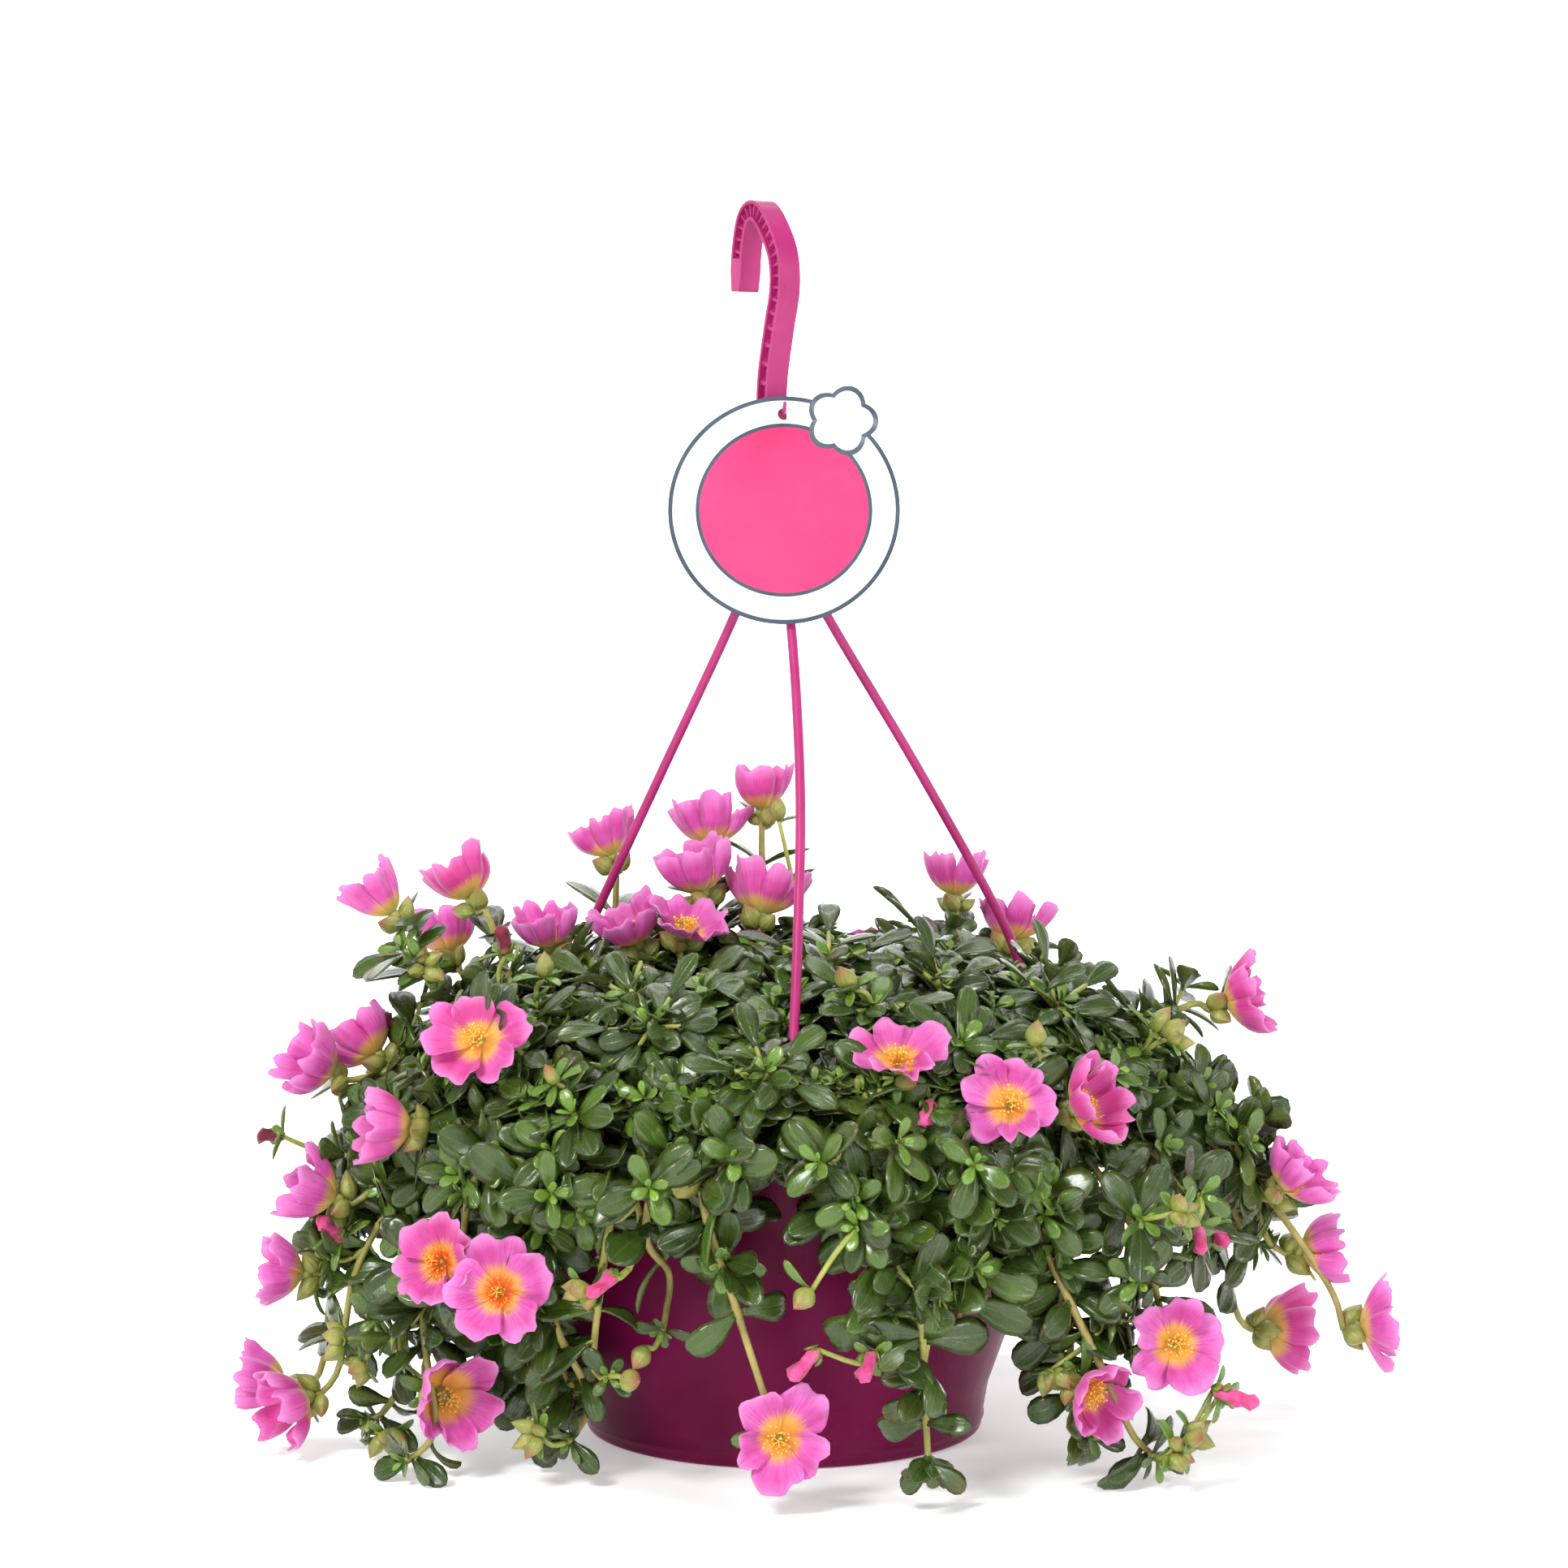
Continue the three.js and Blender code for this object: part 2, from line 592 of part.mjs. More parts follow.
// A corolla of five petals in one cupped sheet, with a boss of stamens and a pointed foot
function corollaSolid(place, facing, spread, draw, thick = PETAL_THICK, radius = BLOOM_RADIUS) {
  const climb = radians(64 - 48 * spread);
  const forward = facing.clone().normalize();
  const side = new THREE.Vector3().crossVectors(new THREE.Vector3(0.12, 0.07, 1), forward).normalize();
  const other = new THREE.Vector3().crossVectors(forward, side);
  const point = (reach, angle, height) => place.clone()
    .addScaledVector(side, reach * Math.cos(angle))
    .addScaledVector(other, reach * Math.sin(angle))
    .addScaledVector(forward, height);
  const rim = spread > 0.7 ? NOTCHED_RIM : BLUNT_RIM;
  const points = rim.length;
  const topRing = [];
  const lowRing = [];
  const topEdge = [];
  const lowEdge = [];
  const spin = draw() * 72;
  const push = thick * Math.sin(climb);
  const drop = thick * Math.cos(climb);
  for (let petal = 0; petal < 5; petal += 1) {
    const middle = petal * 72 + spin;
    const inner = radius * 0.28;
    topRing.push(point(inner, radians(middle), inner * Math.tan(climb * 0.8)));
    lowRing.push(point(inner + push, radians(middle), inner * Math.tan(climb * 0.8) - drop));
    for (const [turn, share] of rim) {
      const length = radius * share * (0.94 + 0.12 * draw());
      const wave = (draw() - 0.5) * 2.4;
      const angle = radians(middle + turn);
      const reach = length * Math.cos(climb);
      const height = length * Math.sin(climb) + wave;
      topEdge.push(point(reach, angle, height));
      lowEdge.push(point(reach + push, angle, height - drop));
    }
  }
  const corners = [point(0, 0, 2.2), point(0, 0, -1.5), ...topRing, ...lowRing, ...topEdge, ...lowEdge];
  const around = 5 * points;
  const [top, low] = [12, 12 + around];
  const faces = [];
  for (let petal = 0; petal < 5; petal += 1) {
    const next = (petal + 1) % 5;
    faces.push([0, 2 + petal, 2 + next], [1, 7 + next, 7 + petal]);
    for (let step = 0; step < points; step += 1) {
      const edge = petal * points + step;
      const after = (edge + 1) % around;
      faces.push([2 + petal, top + edge, top + after], [7 + petal, low + after, low + edge]);
      faces.push([top + edge, low + edge, low + after], [top + edge, low + after, top + after]);
    }
    const seam = next * points;
    faces.push([2 + petal, top + seam, 2 + next], [7 + petal, 7 + next, low + seam]);
  }
  return closedSolid(corners.flatMap((corner) => corner.toArray()), faces);
}

function makeBlooms() {
  const draw = seededDraw(SEED);
  return [...FRONT_BLOOMS, ...BACK_BLOOMS].map((group, index) => {
    const name = `bloom_${String(index + 1).padStart(2, '0')}`;
    const corollas = group.map(([place, [turn, lift], spread]) => {
      const size = BLOOM_RADIUS * (0.94 + 0.12 * draw());
      return corollaSolid(new THREE.Vector3(...place), heading(turn, lift), spread, draw, PETAL_THICK, size);
    });
    const solid = oneBody(joined(corollas));
    stand(name, solid);
    return named(name, solid, COLOURS.petals);
  });
}

// The plant: a cushion of crowded shoots in sectors, each rooted in the soil, with stems, leaves and buds

// The cushion's line as reach and height, in front and behind, and at the two sides where it bulges
const CUSHION_FRONT = [
  [0, 200], [66, 199], [112, 186], [140, 166], [149, 146], [143, 130],
  [134, 138], [134, 168.5], [104, 168.5], [100, SOIL_TOP + GAP], [0, SOIL_TOP + GAP],
];
const CUSHION_SIDE = [
  [0, 200], [70, 200], [114, 192], [152, 172], [170, 148], [163, 118],
  [136, 124], [134, 168.5], [104, 168.5], [100, SOIL_TOP + GAP], [0, SOIL_TOP + GAP],
];
const CUSHION_TOP_POINTS = 5;

function cushionLine(turn) {
  const bulge = Math.abs(Math.cos(radians(turn))) ** 2;
  return CUSHION_FRONT.map(([reach, height], step) => [
    THREE.MathUtils.lerp(reach, CUSHION_SIDE[step][0], bulge),
    THREE.MathUtils.lerp(height, CUSHION_SIDE[step][1], bulge),
  ]);
}

// The height of the cushion's top at a turn and a reach
function cushionHeight(turn, reach) {
  const line = cushionLine(turn).slice(0, CUSHION_TOP_POINTS);
  const next = line.findIndex(([radius]) => radius > reach);
  const [[r0, z0], [r1, z1]] = [line[next - 1], line[next]];
  return z0 + ((z1 - z0) * (reach - r0)) / (r1 - r0);
}

// Trailing shoots without a bloom that the front shows: place of the tip, the way it points, pairs of leaves
const FRONT_TRAILS = [
  [[-25, -152, 101], [-95, -30], 3],
  [[-51, -134, 68], [-110, -60], 1],
  [[-72, -138, 52], [-60, 20], 1],
  [[41, -156, 62], [-90, -50], 3],
  [[60, -164, 18], [-80, -55], 3],
  [[86, -142, 96], [-70, -40], 2],
  [[128, -128, 22], [-50, -50], 3],
  [[158, -124, 12], [-45, -30], 2],
  [[-92, -118, 18], [-128, -30], 2],
  [[-162, -112, 9], [-150, -20], 3],
  [[-182, -62, 14], [-165, -30], 2],
  [[-111, -124, 84], [-130, -30], 2],
  [[217, 2, 80], [-5, -25], 2],
];

const sectors = Array.from({ length: SECTORS }, (_, index) => ({
  node: `leafy_stems_${String(index + 1).padStart(2, '0')}`,
  turn: sectorTurn(index),
  solids: [],
}));

function sectorAt(turn) {
  const index = Math.floor((((turn - SECTOR_START) % 360) + 360) % 360 / SECTOR_TURN);
  return sectors[index];
}

// Keeps a turn a little inside its sector, so that a stem of this reach stays off the next cushion
function insideSector(sector, turn, reach) {
  const edge = SECTOR_TURN / 2 - THREE.MathUtils.radToDeg((STEM_RADIUS + 1) / reach);
  const off = ((turn - sector.turn + 540) % 360) - 180;
  return sector.turn + THREE.MathUtils.clamp(off, -edge, edge);
}

// One sector of the cushion, a little narrower than its share, as its line at three turns
function cushionSolid(sector) {
  const half = SECTOR_TURN / 2;
  const middle = polar(sector.turn, CUSHION_GAP / Math.sin(radians(half)), 0);
  const count = CUSHION_FRONT.length;
  const corners = [-half, 0, half].map((off) => sector.turn + off).flatMap((turn) => (
    cushionLine(turn).map(([reach, height]) => polar(turn, reach, height).add(middle))
  ));
  // The line's ends lie on the sector's own axis, shared by the three sections
  const share = (section, step) => (step === 0 || step === count - 1 ? step : section * count + step);
  const faces = [];
  for (let step = 0; step < count - 1; step += 1) {
    for (const section of [0, 1]) {
      const quad = [[section, step], [section, step + 1], [section + 1, step + 1], [section + 1, step]]
        .map((place) => share(...place));
      for (const face of [[quad[0], quad[1], quad[2]], [quad[0], quad[2], quad[3]]]) {
        if (new Set(face).size === 3) {
          faces.push(face);
        }
      }
    }
  }
  const outline = (off) => cushionLine(sector.turn + off).map((place) => new THREE.Vector2(...place));
  for (const [i, j, k] of THREE.ShapeUtils.triangulateShape(outline(-half), [])) {
    faces.push([share(0, i), share(0, j), share(0, k)]);
  }
  for (const [i, j, k] of THREE.ShapeUtils.triangulateShape(outline(half), [])) {
    faces.push([share(2, k), share(2, j), share(2, i)]);
  }
  return closedSolid(corners.flatMap((corner) => corner.toArray()), faces);
}

function makeCushions() {
  const slots = Object.keys(ARM_TURNS).flatMap((side) => [
    tube(armCurve(side), ARM_RADIUS + 1.7, 4, 10),
    clipBlocks(ARM_TURNS[side], 1).body,
  ]);
  for (const sector of sectors) {
    const root = polar(sector.turn, ROOT_RING, 0);
    let cushion = cushionSolid(sector);
    for (const slot of slots) {
      cushion = cushion.subtract(slot);
    }
    cushion = oneBody(cushion).add(post(ROOT_RADIUS, 5, root.x, root.y, ROOT_END, SOIL_TOP + 10));
    sector.solids.push(cushion);
    stand(sector.node, cushion, 'cushion');
  }
}

// How the leaves of a whorl differ: each one's length, width, bend, turn and lift
function leafShapes(count, draw) {
  return Array.from({ length: count }, () => ({
    long: 0.88 + 0.24 * draw(),
    wide: 0.88 + 0.24 * draw(),
    bend: 0.05 + 0.2 * draw(),
    turn: 10 * (draw() - 0.5),
    rise: 0.3 + 0.7 * draw(),
  }));
}

function sizedLeaf({ long, wide, bend }, scale, out, up) {
  return { out, up, bend, length: LEAF_LENGTH * scale * long, width: LEAF_WIDTH * scale * wide };
}

// Leaves spread evenly about an axis, each lifted a little from square to it
function rosetteLeaves(axis, spin, shapes, scale, lift) {
  const forward = axis.clone().normalize();
  const right = new THREE.Vector3().crossVectors(new THREE.Vector3(0.13, 0.21, 1), forward).normalize();
  const frame = { right, other: new THREE.Vector3().crossVectors(forward, right) };
  const share = 360 / shapes.length;
  return shapes.map((shape, index) => {
    const out = aroundStation(frame, spin + share * index + shape.turn)
      .addScaledVector(forward, lift * shape.rise).normalize();
    const after = aroundStation(frame, spin + share * (index + 0.5));
    return { ...sizedLeaf(shape, scale, out, forward), after };
  });
}

// A rosette that stands out of the cushion. Tries places closer to its sector's middle, spins and sizes,
// first clear of everything but the cushion below it.
function growRosette(sector, turn, reach, draw) {
  const start = draw() * 360;
  const shapes = leafShapes(5, draw);
  for (const allowed of [['cushion'], null]) {
    for (const size of LEAF_SIZES) {
      for (const nudge of [0, 0.5, 1]) {
        const held = THREE.MathUtils.lerp(insideSector(sector, turn, reach), sector.turn, nudge);
        const axis = polar(held, reach / 130, 1).normalize();
        const centre = polar(held, reach, cushionHeight(held, reach)).addScaledVector(axis, ROSETTE_RISE);
        for (const spin of [0, 24, -24, 48]) {
          const leaves = rosetteLeaves(axis, start + spin, shapes, ROSETTE_SCALE * size, 0.6);
          const probe = rosetteSolid(centre, axis, leaves, ROSETTE_RISE + 5, PROBE_SWELL);
          if (!crosses(sector.node, probe, allowed)) {
            const rosette = rosetteSolid(centre, axis, leaves, ROSETTE_RISE + 5);
            sector.solids.push(rosette);
            stand(sector.node, rosette, 'rosette');
            return;
          }
        }
      }
    }
  }
}

// Tries the leaves of one band of a stem, on two or three of its faces, in a few turns and sizes, first
// clear of everything but their own shoot
function growLeaves(sector, piece, station, count, scale, lift, draw) {
  const start = Math.floor(draw() * 3);
  const shapes = leafShapes(count, draw);
  for (const allowed of [[piece], null]) {
    for (const size of LEAF_SIZES) {
      for (const faceTurn of count === 3 ? [0] : [0, 1, 2]) {
        for (const swing of [0, 24, -24, 42, -42]) {
          const leaves = shapes.map((shape, index) => {
            const face = (start + faceTurn + index) % 3;
            const apart = count === 2 ? 20 * (2 * index - 1) : 0;
            const out = aroundStation(station, 120 * face + 60 + swing + apart + shape.turn)
              .addScaledVector(station.along, lift * shape.rise).normalize();
            return { ...sizedLeaf(shape, scale * size, out, station.along), face };
          });
          const clear = leaves.every((leaf) => {
            const probe = leafSolid(station.point, leaf, PROBE_SWELL);
            return probe.boundingBox().min[2] > 0.4 && !crosses(sector.node, probe, allowed);
          });
          if (clear) {
            leaves.forEach((leaf) => stand(sector.node, leafSolid(station.point, leaf), piece));
            return leaves;
          }
        }
      }
    }
  }
  return [];
}

// The way of a stem: out of the cushion, over the rim where it trails, and up to its tip from behind
function stemCurve(sector, place, tip, facing, sway, spread) {
  const reach = Math.hypot(place.x, place.y);
  const turn = THREE.MathUtils.radToDeg(Math.atan2(place.y, place.x));
  const held = (radius, height) => polar(insideSector(sector, turn + sway, radius), radius, height);
  const bedded = (radius) => held(radius, cushionHeight(turn + sway, radius) - 3);
  const last = tip.clone().addScaledVector(facing, -6);
  if (reach < 118) {
    const radius = THREE.MathUtils.clamp(reach * spread, 22, 140);
    return smooth([bedded(radius), last]);
  }
  if (place.z > 145) {
    const radius = Math.min(reach - 22, 146) * Math.min(spread, 1.05);
    const behind = tip.clone().addScaledVector(facing, -16).add(new THREE.Vector3(0, 0, 6));
    return smooth([bedded(radius), behind, last]);
  }
  const shoulderReach = Math.max(160, 0.35 * 140 + 0.65 * reach) * (1.5 - 0.5 * spread);
  const shoulder = polar(turn + sway * 0.4, shoulderReach, 0.42 * 180 + 0.58 * place.z);
  const before = tip.clone().addScaledVector(facing, -15).add(new THREE.Vector3(0, 0, 10));
  return smooth([held(138, 160), shoulder, before, last]);
}

// Tries ways that sway to either side, and stand nearer or further out, until one crosses no other node
function growStem(sector, piece, place, facing, steps, spin) {
  const tip = place.clone().addScaledVector(facing, -1.9);
  const lineFor = (sway, spread) => {
    const curve = stemCurve(sector, place, tip, facing, sway, spread);
    return [...curve.getSpacedPoints(steps - 1), tip];
  };
  for (const spread of [1, 0.8, 1.2, 0.6, 1.4]) {
    for (const sway of [0, 4, -4, 8, -8, 12, -12, 17, -17, 23, -23, 30, -30]) {
      const line = lineFor(sway, spread);
      const probe = shootSolid(stationsOf(line, spin), {}, STEM_RADIUS + PROBE_SWELL);
      if (probe.boundingBox().min[2] > 0.6 && !crosses(sector.node, probe)) {
        stand(sector.node, shootSolid(stationsOf(line, spin)), piece);
        return line;
      }
    }
  }
  return lineFor(0, 1);
}

// The points of a stem's line that carry a pair of leaves
function pairPoints(steps, pairs) {
  return Array.from({ length: pairs }, (_, pair) => (
    Math.round(steps * (PAIRS_FROM + ((1 - PAIRS_FROM) * (pair + 0.5)) / pairs))
  ));
}

function makePlant() {
  makeCushions();
  const shoots = [];
  const shoot = (place, [turn, lift], steps, pairs, bare) => {
    const tip = new THREE.Vector3(...place);
    const sector = sectorAt(THREE.MathUtils.radToDeg(Math.atan2(tip.y, tip.x)));
    const piece = shoots.length;
    const draw = seededDraw(SEED + 10 + piece);
    const spin = 120 * draw();
    const line = growStem(sector, piece, tip, heading(turn, lift), steps, spin);
    const points = [...pairPoints(steps, pairs), ...(bare ? [steps] : [])];
    shoots.push({ sector, piece, draw, end: steps, stations: stationsOf(line, spin, points) });
  };
  for (const [place, facing] of [...FRONT_BLOOMS, ...BACK_BLOOMS].flat()) {
    const upright = place[2] > 145;
    shoot(place, facing, upright ? 3 : 6, upright ? 2 : 1, false);
  }
  for (const [place, facing, pairs] of FRONT_TRAILS) {
    shoot(place, facing, place[2] < 60 ? 6 : 4, pairs, true);
  }
  // Shoots all round the rim, shorter in front
  const draw = seededDraw(SEED);
  for (let i = 0; i < RIM_SHOOTS; i += 1) {
    const turn = (360 * (i + 0.4 * draw())) / RIM_SHOOTS;
    const frontShare = Math.max(0, -Math.sin(radians(turn)) - 0.5) * 2;
    const { x, y } = polar(turn, 196 - 36 * frontShare + 14 * (draw() - 0.5), 0);
    shoot([x, y, 88 + 26 * frontShare + 26 * (draw() - 0.5)], [turn, -35], 4, 1, true);
  }
  for (const { sector, piece, draw: own, end, stations } of shoots) {
    const leavesAt = {};
    for (const station of stations.filter(({ leafy }) => leafy !== null)) {
      leavesAt[station.leafy] = station.leafy === end
        ? growLeaves(sector, piece, station, 3, 0.85, 1.1, own)
        : growLeaves(sector, piece, station, 2, 1, 0.7, own);
    }
    sector.solids.push(shootSolid(stations, leavesAt));
  }
  // Rosettes that stand out of the cushion, in a sunflower's order
  for (let i = 0; i < ROSETTES; i += 1) {
    const turn = 137.508 * i + 20;
    const reach = (cushionLine(turn)[4][0] - 2) * Math.sqrt((i + 0.6) / ROSETTES);
    growRosette(sectorAt(turn), turn, reach, seededDraw(SEED + 200 + i));
  }
  return sectors.map(({ node, solids }) => named(node, oneBody(joined(solids)), COLOURS.leaves));
}

const group = new THREE.Group();
const arms = Object.keys(ARM_TURNS).map(makeArm);
group.add(makePot(), makeSoil(), makeHook(), ...arms, makeTag(), ...makeBlooms(), ...makePlant());

export default group;
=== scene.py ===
"""Looks of the potted portulaca: fine leaves, shoots, blooms, pot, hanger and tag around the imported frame.

Lengths are millimetres up to the moment a mesh is made. +Z is up, -Y is the front.
"""
from math import atan2, cos, degrees, hypot, pi, radians, sin, sqrt

import bpy
import numpy as np
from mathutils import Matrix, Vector


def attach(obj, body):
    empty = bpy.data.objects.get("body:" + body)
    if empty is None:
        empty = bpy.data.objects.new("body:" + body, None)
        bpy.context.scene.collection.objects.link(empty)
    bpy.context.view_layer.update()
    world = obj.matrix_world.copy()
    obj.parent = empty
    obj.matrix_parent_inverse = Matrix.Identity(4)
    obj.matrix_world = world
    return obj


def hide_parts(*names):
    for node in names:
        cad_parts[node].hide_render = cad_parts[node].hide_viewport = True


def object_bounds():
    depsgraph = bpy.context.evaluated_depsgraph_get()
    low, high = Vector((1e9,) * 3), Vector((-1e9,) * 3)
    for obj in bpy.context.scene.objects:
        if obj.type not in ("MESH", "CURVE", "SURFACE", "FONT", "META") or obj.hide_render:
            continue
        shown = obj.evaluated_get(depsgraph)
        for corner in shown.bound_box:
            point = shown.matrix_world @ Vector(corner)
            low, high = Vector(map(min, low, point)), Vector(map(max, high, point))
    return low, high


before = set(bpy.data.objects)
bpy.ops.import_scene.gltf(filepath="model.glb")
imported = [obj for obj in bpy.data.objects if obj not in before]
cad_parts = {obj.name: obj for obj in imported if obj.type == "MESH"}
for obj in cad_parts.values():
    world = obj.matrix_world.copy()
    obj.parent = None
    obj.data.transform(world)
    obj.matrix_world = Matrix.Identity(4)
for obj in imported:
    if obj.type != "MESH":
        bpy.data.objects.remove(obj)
cad_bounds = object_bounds()
MM = 0.001
LOW, HIGH = (np.array(corner) / MM for corner in cad_bounds)

# The camera of the photograph: 1932 pixels a side, level with the blooms and tipped down a little
PHOTO_MIDDLE = 966
FOCAL_PIXELS = 4985
SENSOR_MM = 36
CAMERA_PLACE = np.array([0.0, -1800.0, 422.0])
CAMERA_PITCH = radians(4.23)

# The same driving sizes as in the part's source
POT_HEIGHT = 165
BASE_RADIUS = 89
RIM_RADIUS = 126.5
WALL = 2
FLOOR = 3
SOIL_TOP = 150
DRAIN_HOLES = 5
DRAIN_RADIUS = 4.5
DRAIN_RING = 58
POT_WALL_LINE = [(BASE_RADIUS, 3), (92, 21), (105, 57), (122, 152)]
HUB = np.array([-4.0, 0.0, 404.0])
HUB_RADIUS = 9
HUB_HEIGHT = 10
STRAP_WIDTH = 10.5
STRAP_DEPTH = 9
STRAP_FLANGE = 1.6
STRAP_WEB = 4
HOOK_TURN = 122
HOOK_LINE = [
    (0, 408), (2.5, 440), (2.5, 466), (-3, 490), (-8, 508),
    (-6.5, 523), (2, 536), (11, 543.2), (19.5, 540), (24, 526), (25.5, 508),
]
ARM_RADIUS = 2.2
ARM_TURNS = {"front": -88.5, "right": 27, "left": 150}
ARM_BENDS = {
    "front": [(3, -22, 361), (7, -62, 290), (5.5, -98, 222)],
    "right": [(19, 10, 364), (64, 28, 288), (104, 47, 214)],
    "left": [(-22, 12, 364), (-56, 31, 291), (-90, 50, 218)],
}
TAG_RADIUS = 51
TAG_THICK = 0.8
TAG_CENTRE = np.array([0.0, -17.4, 411.0])
TAG_LEAN = 12
TAG_HOLE_RADIUS = 2.7
TAG_HOLE_RISE = 43
BADGE_PLACE = (25.5, 40)
SECTORS = 12
SECTOR_TURN = 360 / SECTORS
SECTOR_START = 12
STEM_RADIUS = 1.8
STEM_BAND = 2.8
LEAF_LENGTH = 31
LEAF_WIDTH = 15
ROSETTE_SCALE = 1.35
ROSETTE_RISE = 12
PAIRS_FROM = 0.3
LEAF_SIZES = [1, 0.8, 0.62]
BLOOM_RADIUS = 24
ROSETTES = 34
RIM_SHOOTS = 12
SEED = 41
FRAME_SHOOT_SEED = SEED + 10
FRAME_ROSETTE_SEED = SEED + 200
# The finer forms, which the frame doesn't have, draw from seeds of their own
SHOOT_SEED = SEED + 500
ROSETTE_SEED = SEED + 900
DOME_SEED = SEED + 2000
BUD_SEED = SEED + 5000
BLOOM_SEED = SEED + 7000
SHADED_SEED = SEED + 8000
INNER_SEED = SEED + 9000
CUSHION_FRONT = [(0, 200), (66, 199), (112, 186), (140, 166), (149, 146), (143, 130)]
CUSHION_SIDE = [(0, 200), (70, 200), (114, 192), (152, 172), (170, 148), (163, 118)]

# Blooms by node: the place of the petals' foot, the way they face as turn and lift, and how far they open
BLOOMS = [
    [((-10, 70, 272), (80, 78), 0.35)],
    [((-33, 66, 256), (120, 75), 0.4)],
    [((-37, 30, 238), (200, 72), 0.35)],
    [((-10, 26, 228), (60, 70), 0.45)],
    [((-45, 0, 221), (-60, 66), 0.6), ((-66, 8, 217), (200, 66), 0.4)],
    [((-80, 76, 250), (150, 72), 0.35)],
    [((-106, 18, 214), (220, 74), 0.45)],
    [((-142, 20, 236), (150, 55), 0.35)],
    [((-174, -10, 232), (170, 52), 0.3)],
    [((-154, 62, 206), (130, 60), 0.35)],
    [((-128, -112, 189), (-105, 24), 0.95)],
    [((-181, -16, 170), (160, 38), 0.4), ((-199, -32, 164), (200, 30), 0.35)],
    [((-159, -94, 150), (195, 8), 0.45)],
    [((-195, -62, 113), (190, 18), 0.35)],
    [((-212, -40, 76), (190, 5), 0.45)],
    [((-143, -130, 98), (-118, 18), 0.9), ((-118, -142, 88), (-96, 12), 0.95)],
    [((-222, -26, 24), (175, 10), 0.3)],
    [((-208, -64, 26), (215, -8), 0.5)],
    [((-146, -96, 34), (-60, -4), 0.5)],
    [((-2, -160, 31), (-92, 2), 0.95)],
    [((47, -136, 182), (-80, 52), 0.75)],
    [((94, -130, 164), (-88, 26), 0.85), ((122, -120, 161), (-30, 30), 0.5)],
    [((80, 70, 232), (90, 80), 0.35)],
    [((106, 82, 210), (70, 70), 0.35)],
    [((198, 0, 190), (-5, 22), 0.5)],
    [((220, -30, 112), (-20, 45), 0.4)],
    [((232, -8, 80), (0, 10), 0.4)],
    [((221, 34, 36), (30, 0), 0.5)],
    [((258, -12, 46), (-6, 6), 0.6)],
    [((164, -122, 62), (-80, 12), 0.9)],
    [((126, -134, 46), (-50, -20), 0.4)],
    [((45, 118, 190), (75, 45), 0.7)],
    [((-60, 135, 176), (110, 40), 0.8)],
    [((140, 118, 150), (40, 25), 0.6)],
    [((-150, 108, 132), (145, 20), 0.6)],
    [((20, 176, 96), (88, 15), 0.9)],
    [((120, 160, 58), (55, 10), 0.6)],
    [((-95, 168, 60), (118, 8), 0.8)],
]

# Trailing shoots without a bloom: place of the tip, the way it points, pairs of leaves
TRAILS = [
    ((-25, -152, 101), (-95, -30), 3),
    ((-51, -134, 68), (-110, -60), 1),
    ((-72, -138, 52), (-60, 20), 1),
    ((41, -156, 62), (-90, -50), 3),
    ((60, -164, 18), (-80, -55), 3),
    ((86, -142, 96), (-70, -40), 2),
    ((128, -128, 22), (-50, -50), 3),
    ((158, -124, 12), (-45, -30), 2),
    ((-92, -118, 18), (-128, -30), 2),
    ((-162, -112, 9), (-150, -20), 3),
    ((-182, -62, 14), (-165, -30), 2),
    ((-111, -124, 84), (-130, -30), 2),
    ((217, 2, 80), (-5, -25), 2),
]

# Where a shoot, a whorl or a rosette of the frame stands otherwise than at its first choice
STEM_SWAYS = {32: -4, 51: -12, 59: -4}
WHORL_WAYS = {
    (0, 0, -24): [(0, 2), (7, 2), (12, 2), (13, 1), (14, 2), (16, 4), (27, 1), (41, 4), (55, 3), (62, 3)],
    (0, 0, 24): [
        (1, 1), (2, 1), (6, 1), (10, 1), (18, 4), (42, 2), (45, 3), (48, 5), (49, 5), (53, 2), (53, 3), (63, 3),
    ],
    (0, 0, 42): [(1, 2), (2, 2), (23, 2), (24, 1), (27, 2), (30, 4), (39, 4), (46, 3), (51, 5), (52, 3)],
    (1, 1, -42): [(3, 2)],
    (0, 2, -24): [(4, 2)],
    (0, 1, 0): [(5, 1), (13, 2), (36, 2)],
    (0, 1, -24): [(5, 2), (8, 1), (33, 4), (65, 3)],
    (0, 0, -42): [(11, 2), (14, 1), (55, 4)],
    (0, 1, -42): [(17, 4)],
    (0, 2, 0): [(32, 4), (48, 3), (48, 4)],
    (2, 1, -42): [(35, 1)],
    (2, 0, 42): [(44, 6)],
    (2, 1, 0): [(49, 3)],
    (1, 0, 0): [(52, 6), (62, 4)],
    (1, 0, 42): [(53, 4)],
}
NO_WHORL = [(49, 6), (51, 4), (51, 6)]

